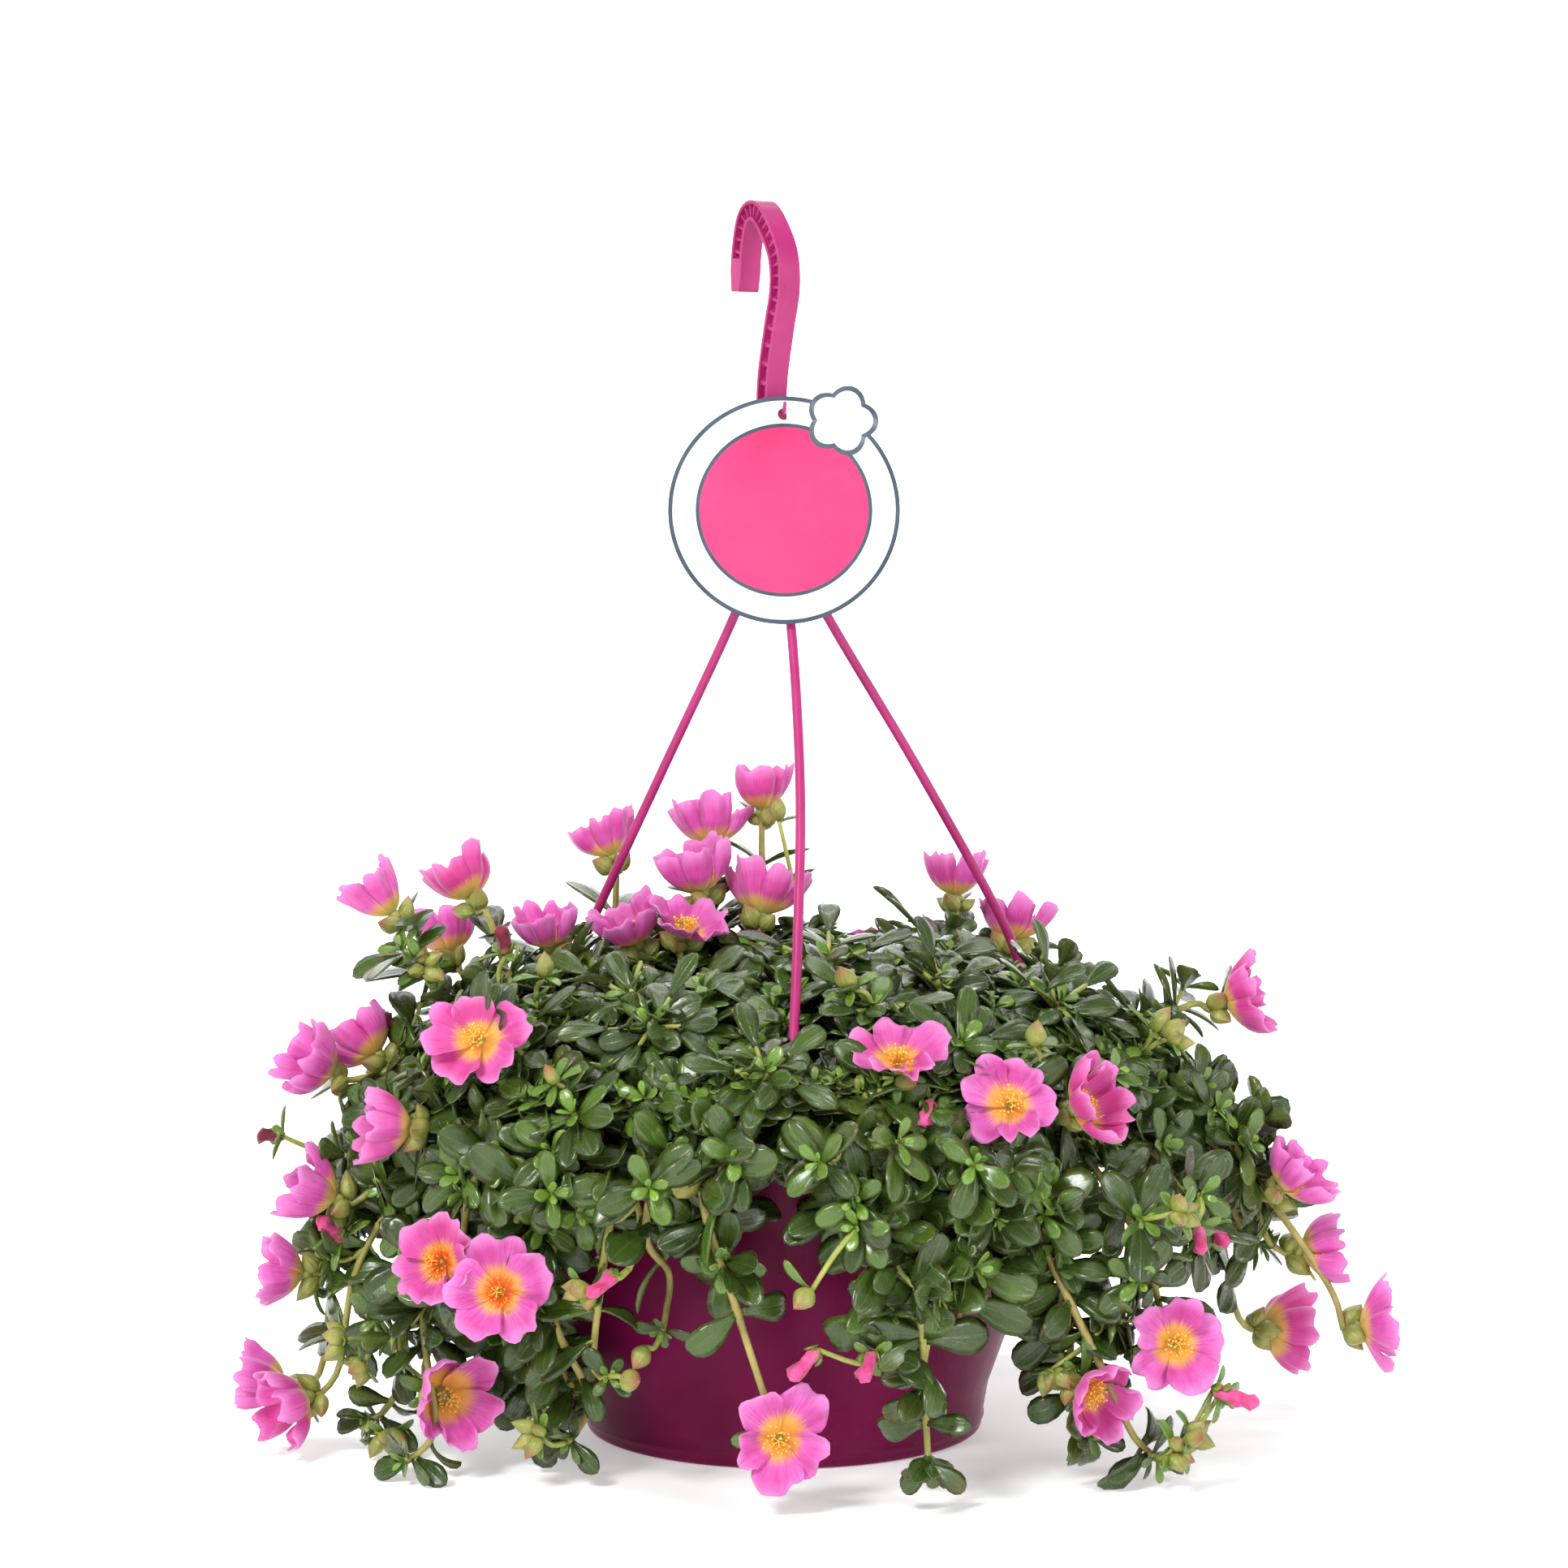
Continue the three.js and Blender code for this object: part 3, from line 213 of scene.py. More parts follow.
# Shoots by their number in the frame: those that hang before the pot's wall, with the size of some tips,
# those with more leaves, those that reach the floor, and those whose finer line is another one
POT_TRAILS = [22, 42, 43, 44]
TIP_SCALES = {42: 1.1, 43: 0.55, 44: 0.55, 46: 0.55, 50: 0.55}
DENSE_TRAILS = [45, 46, 47]
FLOOR_TRAILS = [48, 49, 50, 51, 52]
ROUTES = {
    22: [(-42, -120, 178), (-36, -146, 148), (-32, -152, 121), (-22, -155, 91), (-9, -158, 51)],
    32: [(150, -8, 172), (188, -14, 142), (214, -19, 108), (234, -18, 80), (246, -14, 60)],
    49: [(74, -94, 178), (94, -120, 138), (112, -130, 97), (129, -132, 62), (145, -129, 27)],
}
ROSETTE_WAYS = [
    (2, 0.5, 0), None, (0, 0, 0), (2, 0.5, 0), None, (0, 0, 48), (1, 0, 48), None, (0, 0.5, 0), (2, 0, 0),
    (1, 0, 48), (1, 1, 24), (0, 0, 0), (2, 0.5, 24), None, (1, 0.5, -24), (2, 0, 24), (0, 0, 24), (0, 0, 0),
    (2, 0, 0), (0, 0.5, 0), (0, 0, 0), (2, 0.5, 0), (1, 0, 24), (1, 1, 24), (0, 0, 24), (1, 0, 48),
    (0, 0.5, 0), (1, 1, 24), (0, 1, 0), (0, 0, 0), (2, 1, 24), (0, 0.5, 0), (2, 0, 0),
]

# Buds, spent blooms, closed tubes and clusters of buds, by the pixel of the photograph where each shows
BUDS = [
    (672, 1205, "bud"), (625, 1175, "spent"), (490, 1272, "spent"), (348, 1400, "spent"), (420, 1520, "bud"),
    (355, 1535, "bud"), (757, 1568, "tube"), (767, 1700, "bud"), (797, 1660, "bud"), (685, 1335, "bud"),
    (1048, 1218, "bud"), (1147, 1358, "tube"), (1008, 1663, "tube"), (1075, 1668, "tube"),
    (1475, 1262, "tube"), (1480, 1515, "tube"), (1495, 1712, "tube"), (1440, 1835, "tube"),
    (470, 1835, "bud"), (960, 1012, "bud"), (870, 1128, "bud"), (840, 1165, "bud"), (1000, 1590, "bud"),
    (395, 1700, "bud"), (1420, 1270, "bud"), (1275, 1290, "bud"), (423, 1527, "tube"), (1473, 1510, "tube"),
    (420, 1475, "cluster"), (434, 1502, "cluster"), (426, 1650, "cluster"), (450, 1680, "cluster"),
    (378, 1664, "cluster"), (361, 1703, "cluster"), (562, 1687, "cluster"), (532, 1708, "cluster"),
    (475, 1766, "cluster"), (393, 1758, "cluster"), (722, 1588, "cluster"), (665, 1766, "cluster"),
    (1450, 1493, "cluster"), (1297, 1687, "cluster"), (1467, 1767, "cluster"), (1447, 1788, "cluster"),
    (1647, 1622, "cluster"), (1670, 1643, "tube"), (1607, 1680, "spent"), (1505, 1715, "tube"),
    (1190, 1378, "cluster"), (690, 1165, "cluster"), (520, 1190, "cluster"), (1440, 1280, "cluster"),
]


def seeded_draw(seed):
    state = seed * 7919

    def draw():
        nonlocal state
        state = (state * 16807) % 2147483647
        return state / 2147483647

    return draw


def later_draw(seed):
    """A generator whose first number, which hardly changes from seed to seed, is thrown away."""
    draw = seeded_draw(seed)
    draw()
    return draw


def unit(vector):
    vector = np.asarray(vector, float)
    return vector / max(float(np.sqrt(vector @ vector)), 1e-9)


def cross(a, b):
    return np.array([a[1] * b[2] - a[2] * b[1], a[2] * b[0] - a[0] * b[2], a[0] * b[1] - a[1] * b[0]])


def polar(turn, reach, height):
    return np.array([reach * cos(radians(turn)), reach * sin(radians(turn)), height], float)


def heading(turn, lift):
    return polar(turn, cos(radians(lift)), sin(radians(lift)))


def turn_of(place):
    return degrees(atan2(place[1], place[0]))


def clamp(value, low, high):
    return max(low, min(high, value))


def round_half(value):
    return int(value + 0.5)


def lengths_of(rows):
    return np.sqrt((rows**2).sum(-1))


def outward(place):
    """The level direction from the pot's axis to a place."""
    return unit(place * (1, 1, 0))


def level_across(way):
    """A level direction across a way, or one across x where the way is steep."""
    return unit(cross([1.0, 0, 0] if abs(way[2]) > 0.9 else [0, 0, 1.0], way))


def around(right, other, angle):
    return right * cos(angle) + other * sin(angle)


def cross_frame(along, spin):
    """Two directions across a way, turned about it from the level."""
    right = level_across(along)
    other = cross(along, right)
    return around(right, other, spin), around(other, -right, spin)


# Curves


def curve_at(points, shares):
    """Points of a smooth curve at shares of its parameter, as the part's source computes them."""
    points = np.asarray(points, float)
    last = len(points) - 1
    padded = np.vstack([2 * points[0] - points[1], points, 2 * points[-1] - points[-2]])
    scaled = np.clip(shares, 0, 1) * last
    index = np.minimum(scaled.astype(int), last - 1)
    w = (scaled - index)[:, None]
    before, start, end, after = (padded[index + k] for k in range(4))
    leave, arrive = (end - before) / 2, (after - start) / 2
    return (
        start
        + leave * w
        + (3 * (end - start) - 2 * leave - arrive) * w**2
        + (2 * (start - end) + leave + arrive) * w**3
    )


def bent(points, count):
    return curve_at(points, np.linspace(0, 1, count))


def run_lengths(line):
    """The distance of each point from the first, along the line."""
    return np.concatenate([[0], np.cumsum(lengths_of(line[1:] - line[:-1]))])


def spaced_curve(points, pieces):
    """Points at equal distances along the smooth curve."""
    shares = np.linspace(0, 1, 201)
    lengths = run_lengths(curve_at(points, shares))
    wanted = np.linspace(0, lengths[-1], pieces + 1)
    return curve_at(points, np.interp(wanted, lengths, shares))


def place_on(line, distance):
    """The point and the direction at a distance along a line."""
    lengths = run_lengths(line)
    at, way = (
        np.array([np.interp(distance, lengths, column) for column in rows.T])
        for rows in (line, np.gradient(line, axis=0))
    )
    return at, unit(way)


# Meshes


class Batch:
    """Many small parts that become one mesh. A face has up to four corners, and -1 pads a triangle."""

    def __init__(self):
        self.points, self.faces, self.uv, self.kinds = [], [], [], []
        self.marks = {"tone": [], "age": [], "under": []}
        self.count = 0

    def add(self, points, faces, uv, kind=0, tone=0.5, age=0.0, under=0.0):
        self.points.append(points)
        self.faces.append(np.where(faces >= 0, faces + self.count, -1))
        self.uv.append(uv)
        self.kinds.append(np.broadcast_to(kind, len(faces)))
        for mark, value in (("tone", tone), ("age", age), ("under", under)):
            self.marks[mark].append(np.broadcast_to(value, len(points)))
        self.count += len(points)


def add_object(name, data):
    made = bpy.data.objects.new(name, data)
    bpy.context.scene.collection.objects.link(made)
    return made


def make_piece(name, batch, materials, nodes=()):
    """One piece from a batch. Points beyond the frame's own box, a few petal and leaf tips, are moved onto it."""
    mesh = bpy.data.meshes.new(name)
    points = np.clip(np.concatenate(batch.points), LOW, HIGH).astype(np.float32) * MM
    faces = np.concatenate(batch.faces)
    loops = faces[faces >= 0]
    starts = np.concatenate([[0], np.cumsum((faces >= 0).sum(1))[:-1]])
    mesh.vertices.add(len(points))
    mesh.loops.add(len(loops))
    mesh.polygons.add(len(faces))
    mesh.vertices.foreach_set("co", points.ravel())
    mesh.loops.foreach_set("vertex_index", loops.astype(np.int32))
    mesh.polygons.foreach_set("loop_start", starts.astype(np.int32))
    mesh.polygons.foreach_set("material_index", np.concatenate(batch.kinds).astype(np.int32))
    layer = mesh.uv_layers.new(name="UVMap")
    layer.data.foreach_set("uv", np.concatenate(batch.uv)[loops].astype(np.float32).ravel())
    for mark, values in batch.marks.items():
        attribute = mesh.attributes.new(mark, "FLOAT", "POINT")
        attribute.data.foreach_set("value", np.concatenate(values).astype(np.float32))
    mesh.update(calc_edges=True)
    mesh.validate()
    mesh.shade_smooth()
    for material in materials:
        mesh.materials.append(material)
    piece = add_object(name, mesh)
    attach(piece, "root")
    if nodes:
        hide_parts(*nodes)
    return piece


def grid_uv(across, along):
    return np.stack(np.broadcast_arrays(across, along), -1).reshape(-1, 2)


def grid_faces(rows, columns, wrap=False):
    """Quads of a grid of points, row by row. They face up where columns run left and rows run ahead."""
    across = columns if wrap else columns - 1
    r, c = np.meshgrid(np.arange(rows - 1), np.arange(across), indexing="ij")
    after = (c + 1) % columns
    quads = np.stack([r * columns + c, (r + 1) * columns + c, (r + 1) * columns + after, r * columns + after], -1)
    return quads.reshape(-1, 4)


def carried_frames(points):
    """Directions along a line, with a pair of cross directions carried along it without a twist."""
    along = np.gradient(points, axis=0)
    along /= lengths_of(along)[:, None]
    rights = [level_across(along[0])]
    for direction in along:
        rights.append(unit(rights[-1] - direction * (rights[-1] @ direction)))
    rights = np.array(rights[1:])
    return along, rights, np.cross(along, rights)


def add_rings(batch, rings, ends, uv, end_uv, kind=0, tone=0.5, age=0.0, outward=True):
    """A closed body through rows of points about a line, with a point at each end."""
    rows, sides = rings.shape[:2]
    count, turn = rows * sides, np.arange(sides)
    after, pad = (turn + 1) % sides, np.full(sides, -1)
    first = np.stack([np.full(sides, count), after, turn, pad], 1)
    final = np.stack([np.full(sides, count + 1), count - sides + turn, count - sides + after, pad], 1)
    faces = grid_faces(rows, sides, wrap=True)[:, ::-1]
    if not outward:
        faces, first, final = faces[:, ::-1], first[:, [0, 2, 1, 3]], final[:, [0, 2, 1, 3]]
    points = np.vstack([rings.reshape(-1, 3), ends])
    batch.add(points, np.vstack([faces, first, final]), np.vstack([grid_uv(*uv), end_uv]), kind, tone, age)


def around_circle(sides):
    return 2 * pi * np.arange(sides) / sides


def add_tube(batch, points, radii, sides=8, kind=0, tone=0.5, age=0.0):
    """A closed tube with blunt rounded ends."""
    points = np.asarray(points, float)
    radii = np.broadcast_to(radii, len(points)).astype(float)
    along, right, other = carried_frames(points)
    angles = around_circle(sides)[None, :, None]
    ring = np.cos(angles) * right[:, None] + np.sin(angles) * other[:, None]
    body = points[:, None] + ring * radii[:, None, None]
    runs = run_lengths(points) / 10
    ends = [points[0] - along[0] * radii[0] * 0.4, points[-1] + along[-1] * radii[-1] * 0.4]
    uv = np.arange(sides)[None] / sides, runs[:, None]
    add_rings(batch, body, ends, uv, [[0, 0], [0, runs[-1]]], kind, tone, age)


def add_turned(batch, profile, sides, place=(0, 0, 0)):
    """A lathed body about the vertical, whose profile of (radius, height) starts and ends on the axis."""
    profile = np.asarray(profile, float)
    radii, heights = profile[1:-1, :1], profile[1:-1, 1:]
    angles = around_circle(sides)
    body = np.stack(np.broadcast_arrays(radii * np.cos(angles), radii * np.sin(angles), heights), -1)
    ends = np.array([[0, 0, profile[0][1]], [0, 0, profile[-1][1]]]) + place
    uv = np.arange(sides)[None] / sides, run_lengths(profile[1:-1])[:, None] / 100
    add_rings(batch, body + place, ends, uv, [[0, 0], [0, 1]])


# Materials


def linear(*rgb):
    """A colour of the screen's 0 to 255 as Blender's linear colour."""
    share = [c / 255 for c in rgb]
    return [(c / 12.92 if c <= 0.04045 else ((c + 0.055) / 1.055) ** 2.4) for c in share] + [1.0]


class Finish:
    """A material whose colour, roughness and relief come from nodes. Lengths in it are metres."""

    def __init__(self, name, **sockets):
        self.material = bpy.data.materials.new(name)
        self.material.use_nodes = True
        self.tree = self.material.node_tree
        self.to(**sockets)
        self.coordinates = self.new("TexCoord").outputs

    def new(self, kind, inputs=(), **settings):
        """A node with its settings and its inputs, which are given in order or by name."""
        node = self.tree.nodes.new("ShaderNode" + kind)
        for key, value in settings.items():
            setattr(node, key, value)
        for key, value in inputs.items() if isinstance(inputs, dict) else enumerate(inputs):
            self.feed(node.inputs[key], value)
        return node

    def feed(self, socket, value):
        if isinstance(value, bpy.types.NodeSocket):
            self.tree.links.new(value, socket)
        else:
            socket.default_value = value

    def to(self, **values):
        for socket, value in values.items():
            self.feed(self.tree.nodes["Principled BSDF"].inputs[socket.replace("_", " ")], value)
        return self.material

    def done(self, colour, rough, normal):
        return self.to(Base_Color=colour, Roughness=rough, Normal=normal)

    def noise(self, scale, detail=4, rough=0.5, stretch=None):
        source = self.coordinates["Object"]
        if stretch:
            source = self.new("Mapping", {"Vector": source, "Scale": stretch}).outputs[0]
        inputs = {"Vector": source, "Scale": scale, "Detail": detail, "Roughness": rough}
        return self.new("TexNoise", inputs).outputs["Fac"]

    def cloud(self, *noise):
        return self.scaled(self.noise(*noise), 0.3, 0.7)

    def grain(self, across, along, detail=3):
        """Noise that is drawn out along the length of a leaf or petal and differs from one to the next."""
        u, v, _ = self.parts("UV")
        scaled = [self.math("MULTIPLY", *pair) for pair in ((u, across), (v, along), (self.mark("tone"), 90))]
        joined = self.new("CombineXYZ", scaled).outputs[0]
        return self.new("TexNoise", {"Vector": joined, "Scale": 1, "Detail": detail}).outputs["Fac"]

    def mark(self, name):
        return self.new("Attribute", attribute_name=name).outputs["Fac"]

    def parts(self, output):
        return self.new("SeparateXYZ", [self.coordinates[output]]).outputs

    def math(self, operation, *values):
        return self.new("Math", values, operation=operation).outputs[0]

    def scaled(self, value, low, high, to_low=0.0, to_high=1.0, smooth=False):
        kind = "SMOOTHSTEP" if smooth else "LINEAR"
        return self.new("MapRange", (value, low, high, to_low, to_high), interpolation_type=kind).outputs[0]

    def mix(self, share, a, b):
        a, b = (linear(*colour) if isinstance(colour, tuple) else colour for colour in (a, b))
        return self.new("Mix", {0: share, 6: a, 7: b}, data_type="RGBA").outputs[2]

    def relief(self, height, strength=0.3, distance=0.0004, below=None):
        inputs = {"Strength": strength, "Distance": distance, "Height": height}
        if below:
            inputs["Normal"] = below
        return self.new("Bump", inputs).outputs["Normal"]


def leaf_finish(name, dark, mid, young, edge, under):
    f = Finish(name, Roughness=0.3, IOR=1.45, Coat_Weight=0.42, Coat_Roughness=0.18)
    across, along, _ = f.parts("UV")
    from_middle = f.math("ABSOLUTE", f.math("SUBTRACT", across, 0.5))
    colour = f.mix(f.math("MULTIPLY_ADD", f.mark("tone"), 0.6, f.math("MULTIPLY", f.cloud(55, 3), 0.4)), dark, mid)
    colour = f.mix(f.mark("age"), colour, young)
    grain = f.grain(9, 3.0)
    vein = f.scaled(from_middle, 0.0, 0.04, 0.22, 0.0, smooth=True)
    fleck = f.scaled(f.noise(900, 2), 0.62, 0.8, 0.0, 0.18)
    for share in (vein, f.scaled(grain, 0.5, 0.8, 0.0, 0.1), fleck, f.math("MULTIPLY", f.mark("under"), 0.7)):
        colour = f.mix(share, colour, under)
    rim = f.scaled(from_middle, 0.44, 0.5, 0.0, 0.65, smooth=True)
    colour = f.mix(f.math("MULTIPLY", rim, f.scaled(f.noise(38, 2), 0.4, 0.6)), colour, edge)
    blush = f.math("MULTIPLY", f.scaled(f.noise(17, 2), 0.6, 0.76), f.scaled(along, 0.45, 1.0, 0.0, 0.4))
    skin = f.relief(f.noise(620, 3, 0.6), 0.3, 0.0006, f.relief(grain, 0.25, 0.001))
    return f.done(
        f.mix(blush, colour, edge),
        f.scaled(f.noise(300, 3), 0.3, 0.7, 0.2, 0.38),
        f.relief(f.scaled(from_middle, 0.0, 0.07, smooth=True), 0.3, 0.0004, skin),
    )


LEAF = leaf_finish("leaf_green", (32, 48, 12), (66, 90, 30), (118, 158, 50), (116, 62, 46), (118, 132, 72))
AGED_LEAF = leaf_finish(
    "leaf_yellowed", (120, 128, 50), (180, 170, 70), (190, 180, 80), (214, 150, 60), (190, 180, 110)
)
DRY_LEAF = leaf_finish("leaf_dried", (46, 30, 22), (82, 56, 38), (96, 70, 46), (30, 18, 14), (90, 70, 54))


def stem_finish():
    f = Finish("stem_skin", Roughness=0.42, IOR=1.45, Coat_Weight=0.15, Coat_Roughness=0.3)
    streak = f.cloud(90, 4, 0.6)
    colour = f.mix(streak, (124, 124, 52), (178, 170, 92))
    colour = f.mix(f.scaled(f.mark("tone"), 0.45, 1.0, 0.0, 0.8), colour, (158, 122, 80))
    colour = f.mix(f.mark("age"), colour, (156, 182, 80))
    return f.done(
        f.mix(f.scaled(f.noise(420, 2), 0.6, 0.8, 0.0, 0.4), colour, (96, 68, 42)),
        f.scaled(streak, 0, 1, 0.36, 0.55),
        f.relief(f.noise(700, 3), 0.25, 0.0005),
    )


# The inner body's colour, darker than the leaves' own, is partly painted shade among the inner growth
def growth_and_shade_finish():
    f = Finish("inner_growth_and_shade", Roughness=0.7, IOR=1.4)
    cloud = f.cloud(60, 5, 0.6)
    colour = f.mix(cloud, (22, 28, 10), (50, 60, 26))
    return f.done(
        f.mix(f.scaled(f.noise(260, 3), 0.55, 0.7), colour, (58, 48, 30)),
        f.scaled(cloud, 0, 1, 0.55, 0.8),
        f.relief(f.noise(150, 5, 0.6), 0.8, 0.003),
    )


def petal_finish():
    f = Finish(
        "petal", Roughness=0.5, IOR=1.4, Sheen_Weight=0.2, Sheen_Roughness=0.5, Subsurface_Weight=0.25,
        Subsurface_Radius=(0.004, 0.0014, 0.0028), Subsurface_Scale=0.6,
    )
    _, along, _ = f.parts("UV")
    cloud = f.cloud(70, 3)
    colour = f.mix(cloud, (192, 60, 143), (220, 108, 188))
    colour = f.mix(f.scaled(f.mark("tone"), 0.3, 1.0, 0.0, 0.8), colour, (196, 42, 116))
    veins = f.grain(34, 2.2, 2)
    colour = f.mix(f.scaled(veins, 0.48, 0.7, 0.0, 0.6), colour, (194, 44, 134))
    colour = f.mix(f.scaled(along, 0.7, 1.0, 0.0, 0.55), colour, (236, 158, 216))
    ragged = f.math("MULTIPLY_ADD", f.math("SUBTRACT", veins, 0.5), 0.3, along)
    throat = f.scaled(ragged, 0.26, 0.5, 1.0, 0.0, smooth=True)
    colour = f.mix(f.math("MULTIPLY", throat, 0.9), colour, (240, 178, 52))
    heart = f.math("MULTIPLY", f.scaled(ragged, 0.14, 0.34, 1.0, 0.0, smooth=True), f.mark("age"))
    colour = f.mix(heart, colour, (228, 92, 24))
    outside = f.mix(f.scaled(along, 0.08, 0.5, 1.0, 0.0, smooth=True), colour, (206, 186, 92))
    return f.done(
        f.mix(f.mark("under"), colour, outside),
        f.scaled(cloud, 0, 1, 0.4, 0.6),
        f.relief(veins, 0.3, 0.0006, f.relief(f.noise(260, 3), 0.2, 0.0008)),
    )


def spent_finish():
    f = Finish("spent_petal", Roughness=0.6, IOR=1.4, Sheen_Weight=0.2)
    cloud = f.cloud(220, 4)
    fresh, dried = f.mix(cloud, (196, 36, 104), (232, 98, 160)), f.mix(cloud, (70, 10, 26), (140, 26, 56))
    foot = f.scaled(f.parts("UV")[1], 0.05, 0.32, 0.7, 0.0, smooth=True)
    return f.done(
        f.mix(foot, f.mix(f.mark("age"), fresh, dried), (190, 150, 90)),
        f.scaled(cloud, 0, 1, 0.45, 0.75),
        f.relief(f.noise(500, 4, 0.6), 0.5, 0.0012),
    )


def stamen_finish():
    f = Finish("stamen", Roughness=0.55, IOR=1.4)
    cloud = f.scaled(f.noise(700, 2), 0.35, 0.65)
    yellow, orange = f.mix(cloud, (244, 196, 60), (252, 222, 110)), f.mix(cloud, (240, 112, 20), (250, 160, 40))
    return f.done(
        f.mix(f.mark("age"), yellow, orange),
        f.scaled(cloud, 0, 1, 0.45, 0.7),
        f.relief(cloud, 0.4, 0.0004),
    )


def bud_finish():
    f = Finish("bud_sepal", Roughness=0.42, IOR=1.45, Coat_Weight=0.2, Coat_Roughness=0.3)
    cloud = f.cloud(240, 3)
    tip = f.scaled(f.parts("UV")[1], 0.5, 1.0, smooth=True)
    blush = f.math("MULTIPLY", tip, f.scaled(f.mark("tone"), 0.2, 1.0, 0.15, 0.8))
    colour = f.mix(blush, f.mix(cloud, (122, 132, 56), (164, 162, 86)), (150, 62, 62))
    ribs = f.new("TexWave", {"Vector": f.coordinates["UV"], "Scale": 3.0}, bands_direction="X").outputs["Fac"]
    return f.done(
        f.mix(f.scaled(f.noise(900, 2), 0.6, 0.75, 0.0, 0.4), colour, (100, 110, 44)),
        f.scaled(cloud, 0, 1, 0.36, 0.52),
        f.relief(ribs, 0.3, 0.0006),
    )


def plastic_finish(name, deep, light, scuff, rough, coat, streaks, shine):
    f = Finish(name, Roughness=rough, Specular_IOR_Level=shine, Coat_Weight=coat, Coat_Roughness=0.12)
    colour = f.mix(f.cloud(22, 4, 0.55), deep, light)
    dust = f.math("MULTIPLY", f.scaled(f.noise(340, 4, 0.7), 0.6, 0.8), f.scaled(f.noise(9, 2), 0.45, 0.7, 0.0, 0.5))
    fine = f.noise(70, 5, 0.7, streaks)
    return f.done(
        f.mix(dust, colour, scuff),
        f.scaled(fine, 0.25, 0.75, rough - 0.07, rough + 0.12),
        f.relief(f.noise(900, 2), 0.06, 0.0003, f.relief(fine, 0.05, 0.0006)),
    )


def soil_finish():
    f = Finish("peat", Roughness=0.95, IOR=1.3)
    crumb = f.cloud(420, 5, 0.7)
    colour = f.mix(crumb, (24, 16, 11), (70, 50, 36))
    return f.done(
        f.mix(f.scaled(f.noise(260, 1), 0.72, 0.76), colour, (206, 202, 190)),
        f.scaled(crumb, 0, 1, 0.85, 1.0),
        f.relief(f.noise(300, 6, 0.7), 1.0, 0.004),
    )


def tag_finish():
    """Pink disc, slate ring, white ring and slate border, by the distance from the tag's middle."""
    f = Finish("tag_print", Roughness=0.7, IOR=1.35)
    x, _, z = f.parts("Object")
    rise = f.math("DIVIDE", f.math("SUBTRACT", z, TAG_CENTRE[2] * MM), cos(radians(TAG_LEAN)))
    side = f.math("SUBTRACT", x, TAG_CENTRE[0] * MM)
    far = f.math("SQRT", f.math("ADD", f.math("MULTIPLY", side, side), f.math("MULTIPLY", rise, rise)))
    ripple = f.math("MULTIPLY_ADD", f.noise(60, 2), 0.0003, far)
    colour = f.mix(f.cloud(14, 3), (222, 50, 104), (230, 66, 118))
    white = f.mix(f.noise(500, 3), (236, 234, 236), (250, 249, 250))
    slate = f.mix(f.noise(80, 3), (44, 58, 74), (84, 98, 112))
    for edge, beyond in zip(TAG_EDGES, (slate, white, slate)):
        colour = f.mix(f.scaled(ripple, (edge - TAG_BLEED) * MM, (edge + TAG_BLEED) * MM), colour, beyond)
    return f.done(
        colour,
        f.scaled(f.noise(200, 4), 0.3, 0.7, 0.62, 0.78),
        f.relief(f.noise(1400, 2), 0.08, 0.0002),
    )


def badge_finish(name, low, high):
    f = Finish(name, Roughness=0.42, IOR=1.5, Coat_Weight=0.3, Coat_Roughness=0.2)
    return f.done(
        f.mix(f.noise(120, 3), low, high),
        f.scaled(f.noise(200, 4), 0.3, 0.7, 0.34, 0.5),
        f.relief(f.noise(1400, 2), 0.08, 0.0002),
    )


# The print of the tag: where its rings change, and half the width of that change
TAG_EDGES = [37.3, 39.0, 49.2]
TAG_BLEED = 0.15
STEM, INNER, PETAL, SPENT = stem_finish(), growth_and_shade_finish(), petal_finish(), spent_finish()
STAMEN, BUD, PEAT, TAG_PRINT = stamen_finish(), bud_finish(), soil_finish(), tag_finish()
POT_PLASTIC = plastic_finish("pot_gloss", (96, 4, 52), (116, 10, 68), (150, 80, 116), 0.3, 0.0, (1, 1, 0.2), 0.12)
HANGER_PLASTIC = plastic_finish(
    "hanger_satin", (158, 32, 98), (178, 48, 116), (214, 120, 168), 0.36, 0.12, (1, 1, 0.3), 0.35
)
BADGE_WHITE = badge_finish("badge_white", (236, 234, 236), (250, 249, 250))
BADGE_SLATE = badge_finish("badge_slate", (44, 58, 74), (80, 94, 108))

# The pot

POT_SIDES = 144
# The small bead above the pot's foot, as radius and height
BEAD = [(89.35, 4.6), (90.0, 5.4), (90.1, 6.4), (89.6, 7.2)]


def make_pot():
    batch = Batch()
    foot = [(0, 0), (86.4, 0), (87.6, 0.25), (88.4, 0.9), (88.8, 1.8), (BASE_RADIUS, 3)]
    wall = [(92, 21), (98.2, 38.4), (105, 57), (110.9, 88), (116.6, 121), (122, 152)]
    rim = [(125.2, 154.4), (125.9, 156), (126.4, 158.5), (RIM_RADIUS, 161), (126.1, 163), (125.2, 164.4),
           (123.9, POT_HEIGHT), (122.2, POT_HEIGHT), (121.4, 164.2), (120.8, 161)]
    inner = [(radius - WALL, height) for radius, height in reversed(POT_WALL_LINE[1:])]
    profile = foot + BEAD + wall + rim + inner + [(BASE_RADIUS - WALL, FLOOR), (0, FLOOR)]
    add_turned(batch, profile, POT_SIDES)
    pot = make_piece("pot_shell", batch, [POT_PLASTIC], ["pot"])
    cutters = Batch()
    for i in range(DRAIN_HOLES):
        x, y, _ = polar(360 * i / DRAIN_HOLES + 36, DRAIN_RING, 0)
        add_turned(cutters, [(0, -1), (DRAIN_RADIUS, -1), (DRAIN_RADIUS, FLOOR + 1), (0, FLOOR + 1)], 24, (x, y, 0))
    return pot, cutters


